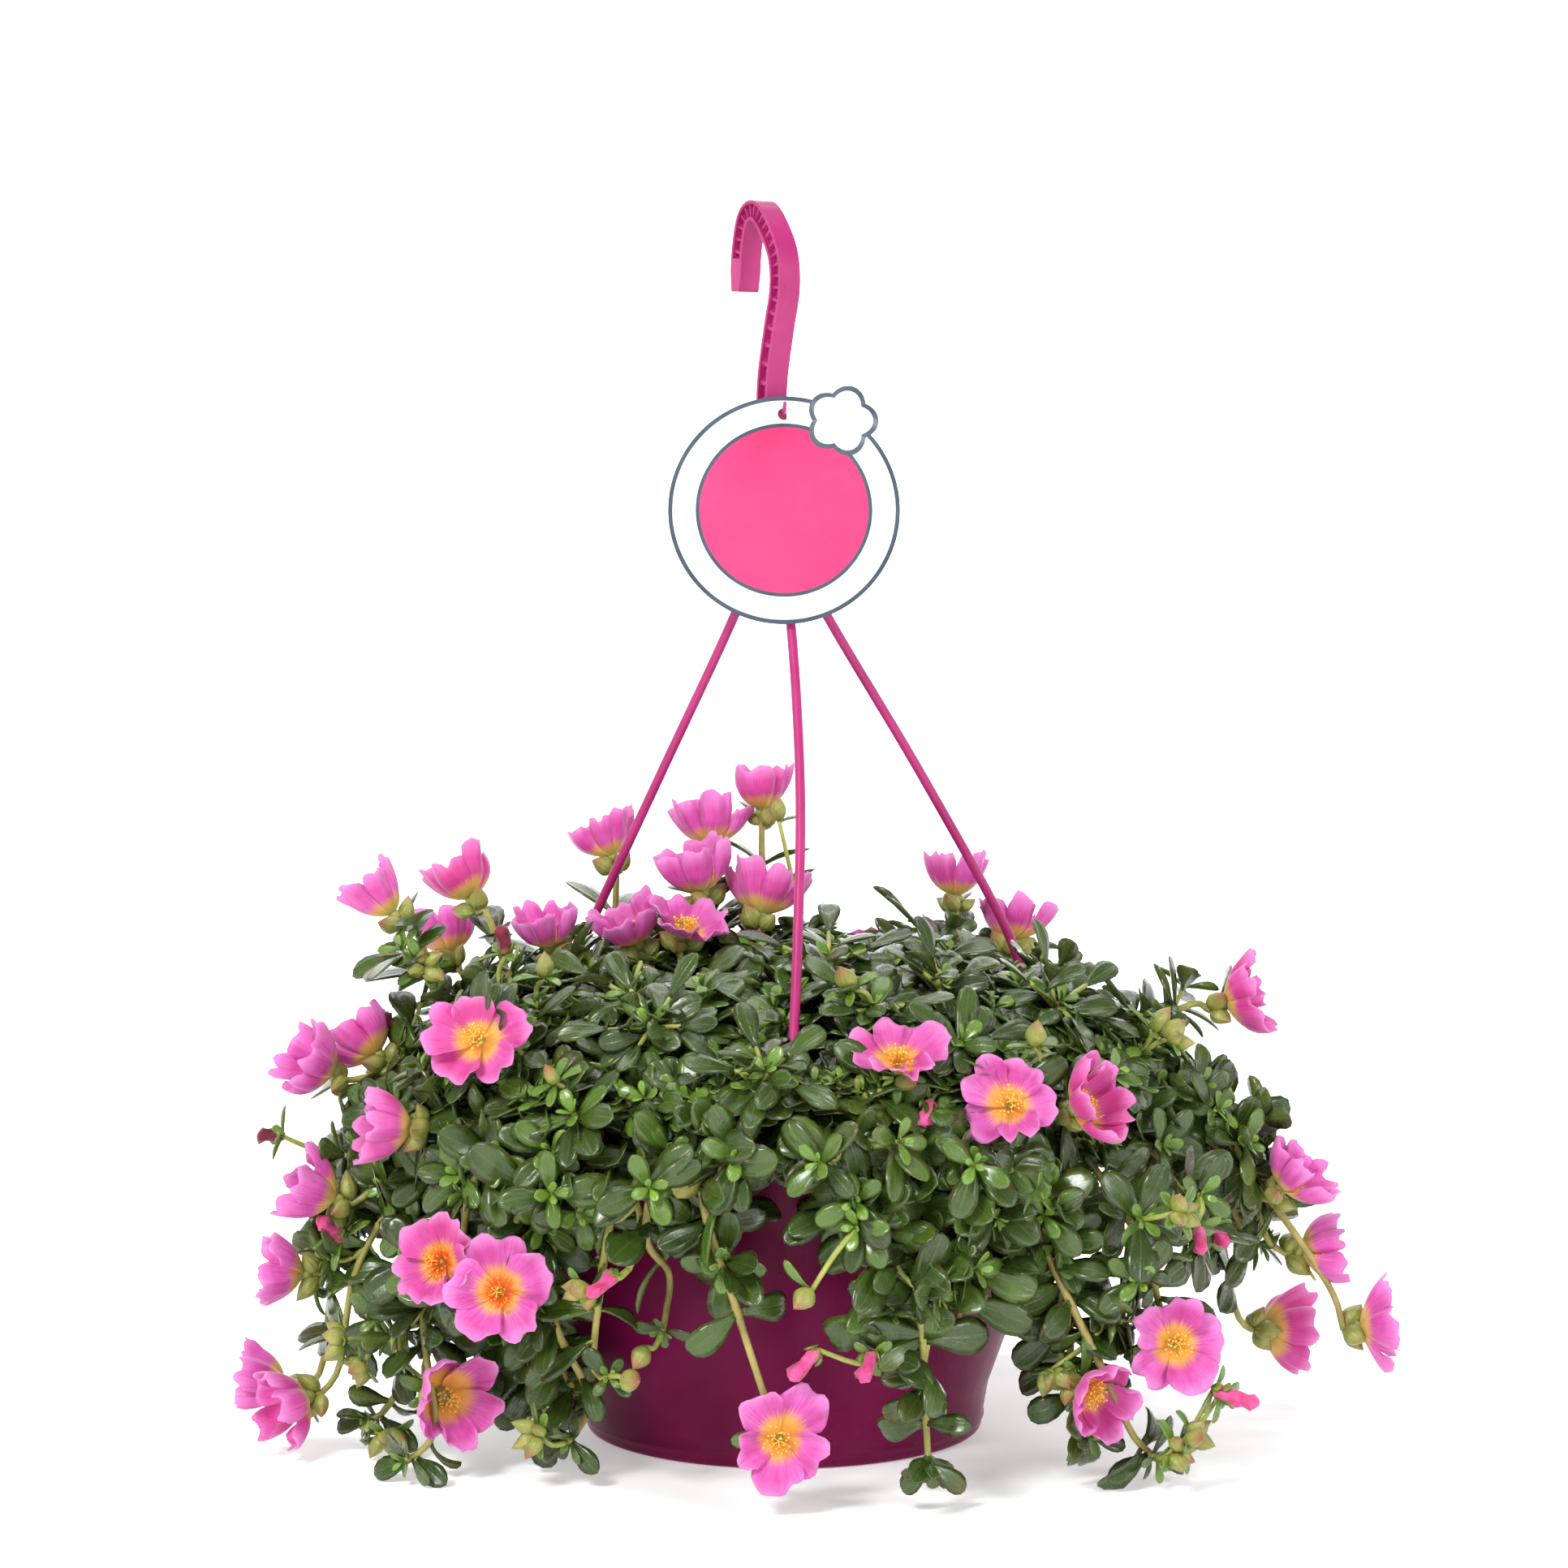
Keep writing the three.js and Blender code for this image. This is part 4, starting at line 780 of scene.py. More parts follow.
def cut_holes(piece, cutters):
    """Cuts the batch of cutters out of a piece for good."""
    mesh = bpy.data.meshes.new("cutters")
    mesh.from_pydata(
        (np.concatenate(cutters.points) * MM).tolist(), [],
        [[i for i in face if i >= 0] for face in np.concatenate(cutters.faces).tolist()],
    )
    cutter = add_object("cutters", mesh)
    cut = piece.modifiers.new("holes", "BOOLEAN")
    cut.operation = "DIFFERENCE"
    cut.solver = "EXACT"
    cut.object = cutter
    graph = bpy.context.evaluated_depsgraph_get()
    done = bpy.data.meshes.new_from_object(piece.evaluated_get(graph))
    piece.modifiers.clear()
    piece.data = done
    bpy.data.objects.remove(cutter)


pot, drain_cutters = make_pot()
cut_holes(pot, drain_cutters)
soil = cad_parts["soil"]
soil.data.materials.clear()
soil.data.materials.append(PEAT)

# Edges that turn by more than this are rounded
EDGE_TURN = radians(35)


def crisp(piece, width):
    """Small rounded edges on a hard piece."""
    bevel = piece.modifiers.new("edges", "BEVEL")
    bevel.width = width * MM
    bevel.segments = 2
    bevel.limit_method = "ANGLE"
    bevel.angle_limit = EDGE_TURN
    bevel.harden_normals = False
    piece.data.shade_smooth()
    normals = piece.modifiers.new("normals", "WEIGHTED_NORMAL")
    normals.keep_sharp = True


# The hanger


def hanger_piece(name, batch, node):
    return make_piece(f"hanger_{name}", batch, [HANGER_PLASTIC], [f"hanger_{node}"])


HOOK_STEPS = 150
HOOK_RIBS = 30
RIB_SHARE = 0.3
RIB_REACH = 2.2
HOOK_BODY = (1 / 12, 11 / 12)
# The quads that close the strap's section at both ends
STRAP_CAPS = [[0, 1, 10, 11], [1, 2, 9, 10], [2, 3, 8, 9], [3, 4, 7, 8], [4, 5, 6, 7]]


def make_strap():
    """The channelled strap, as one section carried up the hook's line, with ribs across its web."""
    reach = heading(HOOK_TURN, 0)
    up = np.array([0.0, 0, 1])
    across = np.cross(reach, up)
    shares = np.linspace(0, 1, HOOK_STEPS + 1)
    line = curve_at([(r, z, 0) for r, z in HOOK_LINE], shares)[:, :2]
    along = np.gradient(line, axis=0)
    along /= lengths_of(along)[:, None]
    beside = np.stack([-along[:, 1], along[:, 0]], 1)
    half, deep = STRAP_WIDTH / 2, STRAP_DEPTH / 2
    lip = deep - STRAP_FLANGE
    rings = []
    for point, normal, share in zip(line, beside, shares):
        web = half
        if HOOK_BODY[0] < share < HOOK_BODY[1]:
            web = STRAP_WEB / 2 + (RIB_REACH if (share * HOOK_RIBS) % 1 < RIB_SHARE else 0)
        taper = min(1.0, 0.72 + 6 * (1 - share), 0.8 + 12 * share)
        low_side = [(-deep, -half), (-lip, -half), (-lip, -web), (lip, -web), (lip, -half), (deep, -half)]
        rings.append([
            HUB * (1, 1, 0) + reach * (point[0] + d * taper * normal[0]) + up * (point[1] + d * taper * normal[1])
            + across * w for d, w in low_side + [(d, -w) for d, w in reversed(low_side)]
        ])
    corners = len(rings[0])
    last = HOOK_STEPS * corners
    caps = STRAP_CAPS + [[last + i for i in quad[::-1]] for quad in STRAP_CAPS]
    uv = np.stack([np.zeros(last + corners), np.repeat(shares, corners)], 1)
    batch = Batch()
    batch.add(np.reshape(rings, (-1, 3)), np.vstack([grid_faces(len(rings), corners, wrap=True), caps]), uv)
    crisp(hanger_piece("strap", batch, "hook"), 0.3)


def make_hub():
    """The hub that the arms hang from, with the small peg that carries the tag."""
    batch = Batch()
    low, high = HUB[2], HUB[2] + HUB_HEIGHT
    add_turned(batch, [
        (0, low), (HUB_RADIUS - 0.8, low), (HUB_RADIUS, low + 0.8), (HUB_RADIUS - 0.5, low + 3),
        (HUB_RADIUS - 1.9, high - 0.7), (HUB_RADIUS - 2.6, high), (0, high),
    ], 40, (HUB[0], HUB[1], 0))
    x, y, z = tag_point(0, TAG_HOLE_RISE)
    z += TAG_HOLE_RADIUS - 1.4
    peg = spaced_curve([(HUB[0] + 1, -2, z), (x, y + 2, z), (x, y - 2.4, z), (x + 0.5, y - 3.6, z + 4)], 24)
    add_tube(batch, peg, np.linspace(1.0, 0.75, len(peg)), 12)
    hanger_piece("hub", batch, "hook")


def tag_point(x, rise, proud=0.0):
    """A point on the tag's face: across, up the face from its middle, and out of it to the front."""
    lean = radians(TAG_LEAN)
    return TAG_CENTRE + np.array([x, rise * sin(lean) - proud * cos(lean), rise * cos(lean) + proud * sin(lean)])


PLATE_EDGE = 0.12


def add_plate(batch, outline, hole, low, high, kind=0):
    """A flat plate on the tag's plane between two heights, with an edge that is rounded a little."""
    count = len(outline)
    middle = outline.mean(0)
    away = outline - middle
    away = away / lengths_of(away)[:, None]
    rings = [
        (outline - away * inset, height)
        for height, inset in ((high, PLATE_EDGE), (high - PLATE_EDGE, 0), (low + PLATE_EDGE, 0), (low, PLATE_EDGE))
    ]
    if hole is not None:
        rings += [(hole, low), (hole, high)]
    points = np.array([tag_point(x, z, height) for ring, height in rings for x, z in ring])
    turn = np.arange(count)
    after = (turn + 1) % count
    faces = [grid_faces(4, count, wrap=True)]
    if hole is None:
        front, back, pad = (np.full(count, k) for k in (len(points), len(points) + 1, -1))
        points = np.vstack([points, tag_point(*middle, high), tag_point(*middle, low)])
        quads = [(turn, after, front, pad), (3 * count + after, 3 * count + turn, back, pad)]
    else:
        low_hole, high_hole = 4 * count, 5 * count
        quads = [
            (turn, after, high_hole + after, high_hole + turn),
            (3 * count + after, 3 * count + turn, low_hole + turn, low_hole + after),
            (high_hole + turn, high_hole + after, low_hole + after, low_hole + turn),
        ]
    faces += [np.stack(quad, 1) for quad in quads]
    batch.add(points, np.vstack(faces), points[:, [0, 2]] / 100, kind)


def ring_points(centre, radius, sides):
    angles = around_circle(sides)
    return np.stack([centre[0] + radius * np.cos(angles), centre[1] + radius * np.sin(angles)], 1)


TAG_SIDES = 180
BADGE_RADIUS = 13
BADGE_WAVE = 3.2
BADGE_LOBES = 5
BADGE_RIM = 2.4


def badge_outline(inset):
    waves = BADGE_WAVE * np.abs(np.cos(BADGE_LOBES * around_circle(TAG_SIDES) / 2))
    return ring_points(BADGE_PLACE, BADGE_RADIUS + waves - inset, TAG_SIDES)


def make_tag():
    half = TAG_THICK / 2
    disc, badge = Batch(), Batch()
    hole = ring_points((0, TAG_HOLE_RISE), TAG_HOLE_RADIUS, TAG_SIDES)
    add_plate(disc, ring_points((0, 0), TAG_RADIUS, TAG_SIDES), hole, -half, half)
    add_plate(badge, badge_outline(0), None, 0.1 - half, half + 0.1)
    for low, high in ((half - 0.2, half + 0.25), (0.03 - half, 0.3 - half)):
        add_plate(badge, badge_outline(BADGE_RIM), None, low, high, 1)
    make_piece("tag_card", disc, [TAG_PRINT], ["tag"])
    make_piece("tag_badge", badge, [BADGE_SLATE, BADGE_WHITE], ["tag"])


# The clip's section as reach from the pot's axis and height, the quads and triangles that close it, and half its width
CLIP_OUTLINE = [
    (116.8, 155), (118.6, 155), (118.6, 165.5), (127.3, 165.5), (127.3, 155), (130.5, 155),
    (130.5, 167.5), (128.5, 169.5), (118.8, 169.5), (116.8, 167.5),
]
CLIP_CAPS = [[0, 1, 2, 9], [9, 2, 8, -1], [2, 3, 7, 8], [3, 6, 7, -1], [3, 4, 5, 6]]
CLIP_HALF = 4.5


def make_clip(side):
    """The small clip at the foot of an arm, which grips the pot's rim."""
    forward, beside = heading(ARM_TURNS[side], 0), heading(ARM_TURNS[side] + 90, 0)
    points = np.array([
        forward * reach + beside * across + np.array([0, 0, height])
        for across in (-CLIP_HALF, CLIP_HALF) for reach, height in CLIP_OUTLINE
    ])
    count = len(CLIP_OUTLINE)
    step = np.arange(count)
    after = (step + 1) % count
    caps = []
    for a, b, c, d in CLIP_CAPS:
        caps.append([a, d, c, b] if d >= 0 else [a, c, b, -1])
        caps.append([i + count if i >= 0 else -1 for i in (a, b, c, d)])
    batch = Batch()
    faces = np.vstack([np.stack([step, after, count + after, count + step], 1), caps])
    batch.add(points, faces, points[:, [0, 2]] / 50)
    crisp(hanger_piece(f"clip_{side}", batch, f"arm_{side}"), 0.5)


def make_arm(side):
    turn = ARM_TURNS[side]
    start = polar(turn, 4.5, HUB[2] - 1.7) + HUB * (1, 1, 0)
    line = spaced_curve([start, *ARM_BENDS[side], polar(turn, 125, 178), polar(turn, 126, 167.5)], 72)
    batch = Batch()
    add_tube(batch, line, ARM_RADIUS * (1 + 0.1 * np.exp(-np.linspace(0, 1, len(line)) * 30)), 20)
    hanger_piece(f"rod_{side}", batch, f"arm_{side}")
    make_clip(side)
    return line


make_strap()
make_hub()
make_tag()
ARM_LINES = np.vstack([make_arm(side) for side in ARM_TURNS])

# Leaves

# A leaf's rows from foot to tip, with half its width and its depth there, and the points of one section
LEAF_SHARES = np.array([0.0, 0.13, 0.3, 0.48, 0.66, 0.82, 0.94])
LEAF_HALVES = np.array([0.13, 0.17, 0.32, 0.45, 0.5, 0.43, 0.25])
LEAF_DEPTHS = np.array([0.9, 0.8, 0.85, 1.0, 0.95, 0.7, 0.45])
SECTION_ACROSS = np.array([-1, -0.5, 0, 0.5, 1, 0])
SECTION_LEVEL = np.array([0, 0.5, 0.22, 0.5, 0, -0.62])
LEAF_THICK = 1.5
# The way of the light that the leaves turn to
LIGHT = np.array([0, -0.25, 1.0])


def leaf_faces():
    rows, columns = len(LEAF_SHARES), len(SECTION_ACROSS)
    top, turn = (rows - 1) * columns, np.arange(columns)
    tip, pad = np.full(columns, rows * columns), np.full(columns, -1)
    ends = np.stack([top + turn, tip, top + (turn + 1) % columns, pad], 1)
    return np.vstack([grid_faces(rows, columns, wrap=True), ends, [[0, 1, 2, 5], [2, 3, 4, 5]]])


LEAF_FACES = leaf_faces()
LEAF_UNDER = np.append(np.tile((SECTION_LEVEL < 0).astype(float), len(LEAF_SHARES)), 0.0)
LEAF_UV = np.vstack([grid_uv(0.5 + SECTION_ACROSS[None] / 2, LEAF_SHARES[:, None]), [[0.5, 1.0]]])


def add_leaves(batch, leaves):
    """All leaves of a batch at once, from their places, directions and sizes."""
    at, out, up = (np.array([leaf[key] for leaf in leaves]) for key in ("at", "out", "up"))
    length, width, bend, fold, twist, thick, tone, age, kind = (
        np.array([leaf[key] for leaf in leaves], float)[:, None]
        for key in ("length", "width", "bend", "fold", "twist", "thick", "tone", "age", "kind")
    )
    side = np.cross(up, out)
    side /= lengths_of(side)[:, None]
    over = np.cross(out, side)
    columns, rows = len(SECTION_ACROSS), len(LEAF_SHARES)
    shares, halves, depths = (
        np.append(np.repeat(values, columns), end)
        for values, end in ((LEAF_SHARES, 1.0), (LEAF_HALVES, 0.0), (LEAF_DEPTHS, 0.0))
    )
    across, level = (np.append(np.tile(values, rows), 0.0) for values in (SECTION_ACROSS, SECTION_LEVEL))
    y = width * (halves * across)
    z = thick * (level * depths) + fold * width * (halves * np.abs(across) ** 1.5)
    swing = twist * shares
    y, z = y * np.cos(swing) - z * np.sin(swing), y * np.sin(swing) + z * np.cos(swing)
    arc = (2 * bend + 1e-4) * shares
    bow = length / (2 * bend + 1e-4)
    x, z = bow * np.sin(arc) + z * np.sin(arc), z * np.cos(arc) - bow * (1 - np.cos(arc))
    x, y, z = (part[..., None] for part in (x, y, z))
    points = at[:, None] + x * out[:, None] + y * side[:, None] + z * over[:, None]
    count, corners = len(leaves), len(shares)
    faces = np.where(LEAF_FACES >= 0, LEAF_FACES + np.arange(count)[:, None, None] * corners, -1)
    batch.add(
        points.reshape(-1, 3), faces.reshape(-1, 4), np.tile(LEAF_UV, (count, 1)),
        np.repeat(kind.astype(int), len(LEAF_FACES)), np.repeat(tone, corners), np.repeat(age, corners),
        np.tile(LEAF_UNDER, count),
    )


class Sector:
    """One twelfth of the plant: its leaves, its stems and its side buds."""

    def __init__(self, index):
        self.node = f"leafy_stems_{index + 1:02d}"
        self.turn = SECTOR_START + SECTOR_TURN * (index + 0.5)
        self.leaves = []
        self.stems = Batch()


sectors = [Sector(index) for index in range(SECTORS)]


def sector_at(turn):
    return sectors[int(((turn - SECTOR_START) % 360) // SECTOR_TURN)]


def cushion_line(turn):
    bulge = cos(radians(turn)) ** 2
    return [
        (r0 + (r1 - r0) * bulge, z0 + (z1 - z0) * bulge)
        for (r0, z0), (r1, z1) in zip(CUSHION_FRONT, CUSHION_SIDE)
    ]


def cushion_height(turn, reach):
    line = cushion_line(turn)[:5]
    step = next((k for k, (radius, _) in enumerate(line) if radius > reach), 4)
    (r0, z0), (r1, z1) = line[step - 1], line[step]
    return z0 + (z1 - z0) * (reach - r0) / (r1 - r0)


def inside_sector(sector, turn, reach):
    edge = SECTOR_TURN / 2 - degrees((STEM_RADIUS + 1) / reach)
    off = (turn - sector.turn + 540) % 360 - 180
    return sector.turn + clamp(off, -edge, edge)


# What the leaves keep clear of: the floor, the pot, the arms, the blooms and the frame's own box

BLOOM_ROOM = 25


def petal_climb(spread):
    """How steeply the petals stand, in degrees, from nearly shut to nearly flat."""
    return 64 - 48 * spread


BLOOM_CONES = []
for group in BLOOMS:
    for place, (turn, lift), spread in group:
        climb = radians(petal_climb(spread))
        reach, height = BLOOM_ROOM * cos(climb) + 1, max(8, BLOOM_ROOM * sin(climb))
        BLOOM_CONES.append((place, heading(turn, lift), reach, height))
CONE_FEET, CONE_WAYS, CONE_REACHES, CONE_HEIGHTS = (np.array(column, float) for column in zip(*BLOOM_CONES))
POT_RADII, POT_HEIGHTS = zip(*[*POT_WALL_LINE, (RIM_RADIUS, 161), (RIM_RADIUS, POT_HEIGHT)])
INNER_REACH = 116


def in_bloom(point):
    away = point - CONE_FEET
    height = (away * CONE_WAYS).sum(1)
    radial = np.sqrt(np.maximum((away**2).sum(1) - height**2, 0))
    share = np.clip(height / CONE_HEIGHTS, 0, 1)
    return np.any((height > -1) & (height < CONE_HEIGHTS + 5) & (radial < CONE_REACHES * (0.35 + 0.65 * share) + 1))


def is_clear(point, room=1.2):
    if point[2] < room or np.any(point < LOW + 0.6) or np.any(point > HIGH - 0.6):
        return False
    reach = hypot(point[0], point[1])
    if point[2] < POT_HEIGHT + 1:
        wall = np.interp(point[2], POT_HEIGHTS, POT_RADII)
        if reach < wall + room and not (point[2] > SOIL_TOP + 2 and reach < INNER_REACH):
            return False
    if np.min(((ARM_LINES - point) ** 2).sum(1)) < (ARM_RADIUS + 1.6 + room) ** 2:
        return False
    return not in_bloom(point)


# Where the photograph shows the bare wall of the pot, as pixel boxes of left, top, right and bottom
BARE_WALL = [(742, 1530, 822, 1810), (822, 1600, 965, 1810), (965, 1590, 1050, 1810), (1050, 1720, 1100, 1810),
             (1160, 1620, 1215, 1810)]
# So many of the first blooms are kept in sight of the camera, each by its middle, a little before its foot
SHOWN_BLOOMS = 34
BLOOM_MIDDLE = 9
SIGHT_FEET = (CONE_FEET + CONE_WAYS * BLOOM_MIDDLE)[:SHOWN_BLOOMS]
SIGHT_WAYS = CAMERA_PLACE - SIGHT_FEET
SIGHT_WAYS /= lengths_of(SIGHT_WAYS)[:, None]
SIGHT_REACHES = np.where(CONE_REACHES > 20, 25.0, 16.0)[:SHOWN_BLOOMS]


def pixel_of(point):
    away = point - CAMERA_PLACE
    ahead = away[1] * cos(CAMERA_PITCH) - away[2] * sin(CAMERA_PITCH)
    rise = away[1] * sin(CAMERA_PITCH) + away[2] * cos(CAMERA_PITCH)
    return PHOTO_MIDDLE + FOCAL_PIXELS * away[0] / ahead, PHOTO_MIDDLE - FOCAL_PIXELS * rise / ahead


def hides_wall(point):
    if point[1] > -60 or point[2] > POT_HEIGHT:
        return False
    px, py = pixel_of(point)
    return any(left < px < right and top < py < bottom for left, top, right, bottom in BARE_WALL)


def hides_bloom(point):
    """True where the point stands between the camera and an open bloom."""
    away = point - SIGHT_FEET
    ahead = (away * SIGHT_WAYS).sum(1)
    beside = np.sqrt(np.maximum((away**2).sum(1) - ahead**2, 0))
    return bool(np.any((ahead > -5) & (ahead < 80) & (beside < SIGHT_REACHES)))


def leaf(sector, at, out, up, length, width, draw, age=0.0, checked=True, bend=None, hero=False):
    """Adds a leaf where it stands clear, shorter where it must be. A hero may stand before the pot's wall."""
    out, up = unit(out), unit(up)
    if abs(out @ up) > 0.96:
        up = unit(up + 0.4 * cross(out, [0.3, 0.5, 0.8]))
    bend = 0.06 + 0.34 * draw() if bend is None else bend
    fold, twist, tone = 0.08 + 0.26 * draw(), 0.7 * (draw() - 0.5), draw()
    side = unit(cross(up, out))
    over = cross(out, side)
    arc = 2 * bend + 1e-4
    for size in (1, 0.8, 0.6):
        spots = [
            at + (out * sin(arc * t) - over * (1 - cos(arc * t))) * length * size / arc
            for t in (0.55, 1.0, 0.25, 0.78)
        ]
        if any(hides_bloom(spot) or in_bloom(spot) for spot in spots):
            continue
        if not checked:
            break
        spots += [spots[0] + sign * side * width * size * 0.45 for sign in (1, -1)]
        if all(is_clear(spot) and (hero or not hides_wall(spot)) for spot in spots):
            length, width = length * size, width * size
            break
    else:
        return
    sector.leaves.append({
        "at": at, "out": out, "up": up, "length": length, "width": width, "bend": bend, "fold": fold,
        "twist": twist, "thick": LEAF_THICK * (0.75 + 0.02 * length) * (1 - 0.25 * age), "tone": tone,
        "age": age, "kind": 0,
    })


# The pairs of a young tip: length, width, lift, age and height along the shoot
TIP_PAIRS = [(24, 12.5, 0.3, 0.05, -4), (18, 9.4, 0.5, 0.3, -2), (11, 6.2, 0.9, 0.7, 0), (6.5, 3.8, 1.6, 1, 1.4)]


def tip_rosette(sector, at, along, draw, scale, hero=False):
    """The crowded young leaves at the end of a shoot, in crossed pairs that get smaller and brighter."""
    along = unit(along)
    spin = draw() * pi
    for step, (length, width, lift, age, height) in enumerate(TIP_PAIRS):
        right, other = cross_frame(along, spin + step * pi / 2)
        for sign in (-1, 1):
            out = sign * right + other * 0.3 * (draw() - 0.5) + along * lift * (0.8 + 0.4 * draw())
            size = scale * (0.85 + 0.3 * draw())
            start = at + along * height * scale + sign * right * 0.5
            youth, bend = age * (0.7 + 0.3 * draw()), 0.1 + 0.16 * draw()
            leaf(sector, start, out, along, length * size, width * size, draw, youth, bend=bend, hero=hero)


def lowness(at):
    """How far down a place lies, from 0 at the pot's rim to 1 by the floor."""
    return clamp((95 - at[2]) / 60, 0, 1)


def leaf_pair(sector, at, along, spin, draw, length=27, lift=0.45, light=0.6, age=0.0, hero=False):
    """Two leaves that face each other across the stem, with their upper sides turned to the light."""
    low = lowness(at)
    right, other = cross_frame(along, spin)
    sun = unit(LIGHT + 0.5 * outward(at) if hypot(at[0], at[1]) > 60 else LIGHT)
    for sign in (-1, 1):
        out = unit(sign * right + other * 0.5 * (draw() - 0.5) + along * lift * (0.4 + 1.1 * draw()) + sun * 0.25)
        size = length * (0.78 + 0.44 * draw()) * (1 - 0.18 * low)
        up = unit(along * (1 - light) + sun * light + 0.35 * other * (draw() - 0.5))
        bend = 0.06 + (0.34 + 0.5 * low) * draw()
        wide = size * ((0.5 if at[2] > 175 else 0.46) + 0.1 * draw())
        leaf(sector, at + sign * right * 1.2, out, up, size, wide, draw, age, bend=bend, hero=hero)


def add_stem(sector, line, start_radius, end_radius, sides=8, tone=0.3, age=0.0, nodes=()):
    """A stem with a small swelling at each node."""
    lengths = run_lengths(line)
    radii = np.linspace(start_radius, end_radius, len(line))
    for node in nodes:
        radii = radii + 0.35 * np.exp(-(((lengths - node) / 1.6) ** 2))
    add_tube(sector.stems, line, radii, sides, 0, tone, age)


def rooted_stem(sector, line, start_radius, end_radius, tone, nodes):
    """A stem with its buried start, by the soil inside the pot's rim."""
    reach, turn = hypot(line[0][0], line[0][1]), turn_of(line[0])
    if reach > 112:
        root = [polar(turn, 100, SOIL_TOP), polar(turn, 121, 171)]
    else:
        root = [polar(turn, reach * 0.75, SOIL_TOP)]
    whole = np.vstack([root, line])
    root_run = run_lengths(whole)[len(root)]
    add_stem(sector, whole, start_radius, end_radius, 8, tone, 0.0, [root_run + node for node in nodes])


def leafy_run(
    sector, line, start, end, pitch, draw, length=27, lift=0.45, light=0.6, hero=False, thinning=0.0, sparse=0.7
):
    """Pairs of leaves along a line from one share of its length to another. Returns their distances.

    Thinning sets them further apart towards the end, and sparse does so towards the floor.
    """
    total = run_lengths(line)[-1]
    spin = draw() * pi
    places = []
    distance = total * start + pitch * 0.4 * draw()
    while distance < total * end:
        at, way = place_on(line, distance)
        leaf_pair(sector, at, way, spin, draw, length, lift, light, 0.25 * draw() ** 3, hero)
        places.append(distance)
        spin += pi / 2 + 0.3 * (draw() - 0.5)
        distance += pitch * (0.8 + 0.4 * draw()) * (1 + thinning * distance / total) * (1 + sparse * lowness(at))
    return places


# The young ends that a bud or spent bloom may sit on: place, way and sector
perches = []


def end_shoot(sector, at, way, draw, scale, ahead=0):
    """A young tip, with a perch a little ahead of it."""
    tip_rosette(sector, at, way, draw, scale)
    perches.append((at + way * ahead, way, sector))


def side_branch(sector, at, way, reach, draw):
    """A short side shoot that curves towards the light, with pairs of leaves and a young tip."""
    way = unit(way)
    end = at + way * reach + np.array([0, 0, 0.18 * reach])
    middle = at + way * reach * 0.5 - np.array([0, 0, 0.05 * reach])
    if not is_clear(end, 5) or not is_clear(middle, 3) or hides_wall(end) or hides_wall(middle) or hides_bloom(end):
        return
    line = bent([at, middle, end], 9)
    places = leafy_run(sector, line, 0.25, 0.92, 11, draw, 24, 0.5)
    add_stem(sector, line, 1.35, 0.95, 6, 0.2, 0.35, places)
    end_shoot(sector, line[-1], unit(line[-1] - line[-2]), draw, 0.95)


# The shoots of the frame, in its own order. Within the first reach they stand, under the height they trail

UPRIGHT_REACH = 118
TRAIL_HEIGHT = 145


def stem_points(sector, place, tip, facing, sway):
    reach = hypot(place[0], place[1])
    turn = turn_of(place)

    def held(radius, height):
        return polar(inside_sector(sector, turn + sway, radius), radius, height)

    def bedded(radius):
        return held(radius, cushion_height(turn + sway, radius) - 3)

    last = tip - facing * 6
    if reach < UPRIGHT_REACH:
        return [bedded(clamp(reach, 22, 140)), last]
    if place[2] > TRAIL_HEIGHT:
        return [bedded(min(reach - 22, 146)), tip - facing * 16 + np.array([0, 0, 6.0]), last]
    shoulder = polar(turn + sway * 0.4, max(160, 0.35 * 140 + 0.65 * reach), 0.42 * 180 + 0.58 * place[2])
    return [held(138, 160), shoulder, tip - facing * 15 + np.array([0, 0, 10.0]), last]


def leafy_stations(line, spin, points):
    """The frame's own stations of a stem that carry leaves: their places, ways and carried frames."""
    end = len(line) - 1
    stations = []
    for index, point in enumerate(line):
        way = unit(line[min(index + 1, end)] - line[max(index - 1, 0)])
        mark = index if index in points else None
        band = [(point + unit(line[index + (1 if index < end else -1)] - point) * STEM_BAND, way)] if mark else []
        pair = [(point, way), *band] if index < end else [*band, (point, way)]
        stations += [(*place, mark if k == 0 else None) for k, place in enumerate(pair)]
    right = cross_frame(stations[0][1], radians(spin))[0]
    leafy = []
    for point, way, index in stations:
        right = unit(right - way * (right @ way))
        if index is not None:
            leafy.append((index, point, way, right, cross(way, right)))
    return leafy


def leaf_shapes(count, draw):
    return [
        {"long": 0.88 + 0.24 * draw(), "wide": 0.88 + 0.24 * draw(), "bend": 0.05 + 0.2 * draw(),
         "turn": 10 * (draw() - 0.5), "rise": 0.3 + 0.7 * draw()}
        for _ in range(count)
    ]


whorl_way = {place: way for way, places in WHORL_WAYS.items() for place in places}
# No finer leaf is longer than this, so on a longer one of the frame it starts further out, on a thin stalk
TRUE_LEAF = 27


def frame_leaf(sector, at, out, up, length, width, bend, draw):
    """A leaf of the frame at its true size: it ends where the frame's ends, and starts a little out."""
    ahead = unit(out)
    if any(hides_wall(at + ahead * length * share) for share in (0.35, 0.9)):
        return
    gap = max(0.0, length - TRUE_LEAF)
    start = at + ahead * gap * 0.9
    if gap > 1.5:
        add_tube(sector.stems, np.array([at, at + ahead * gap * 0.5, start + ahead * 1.5]), 0.75, 6, 0, 0.2, 0.4)
    over = unit(up - ahead * (up @ ahead))
    leaf(sector, start, out, over, length - gap * 0.9, min(width, 13), draw, checked=False, bend=bend)


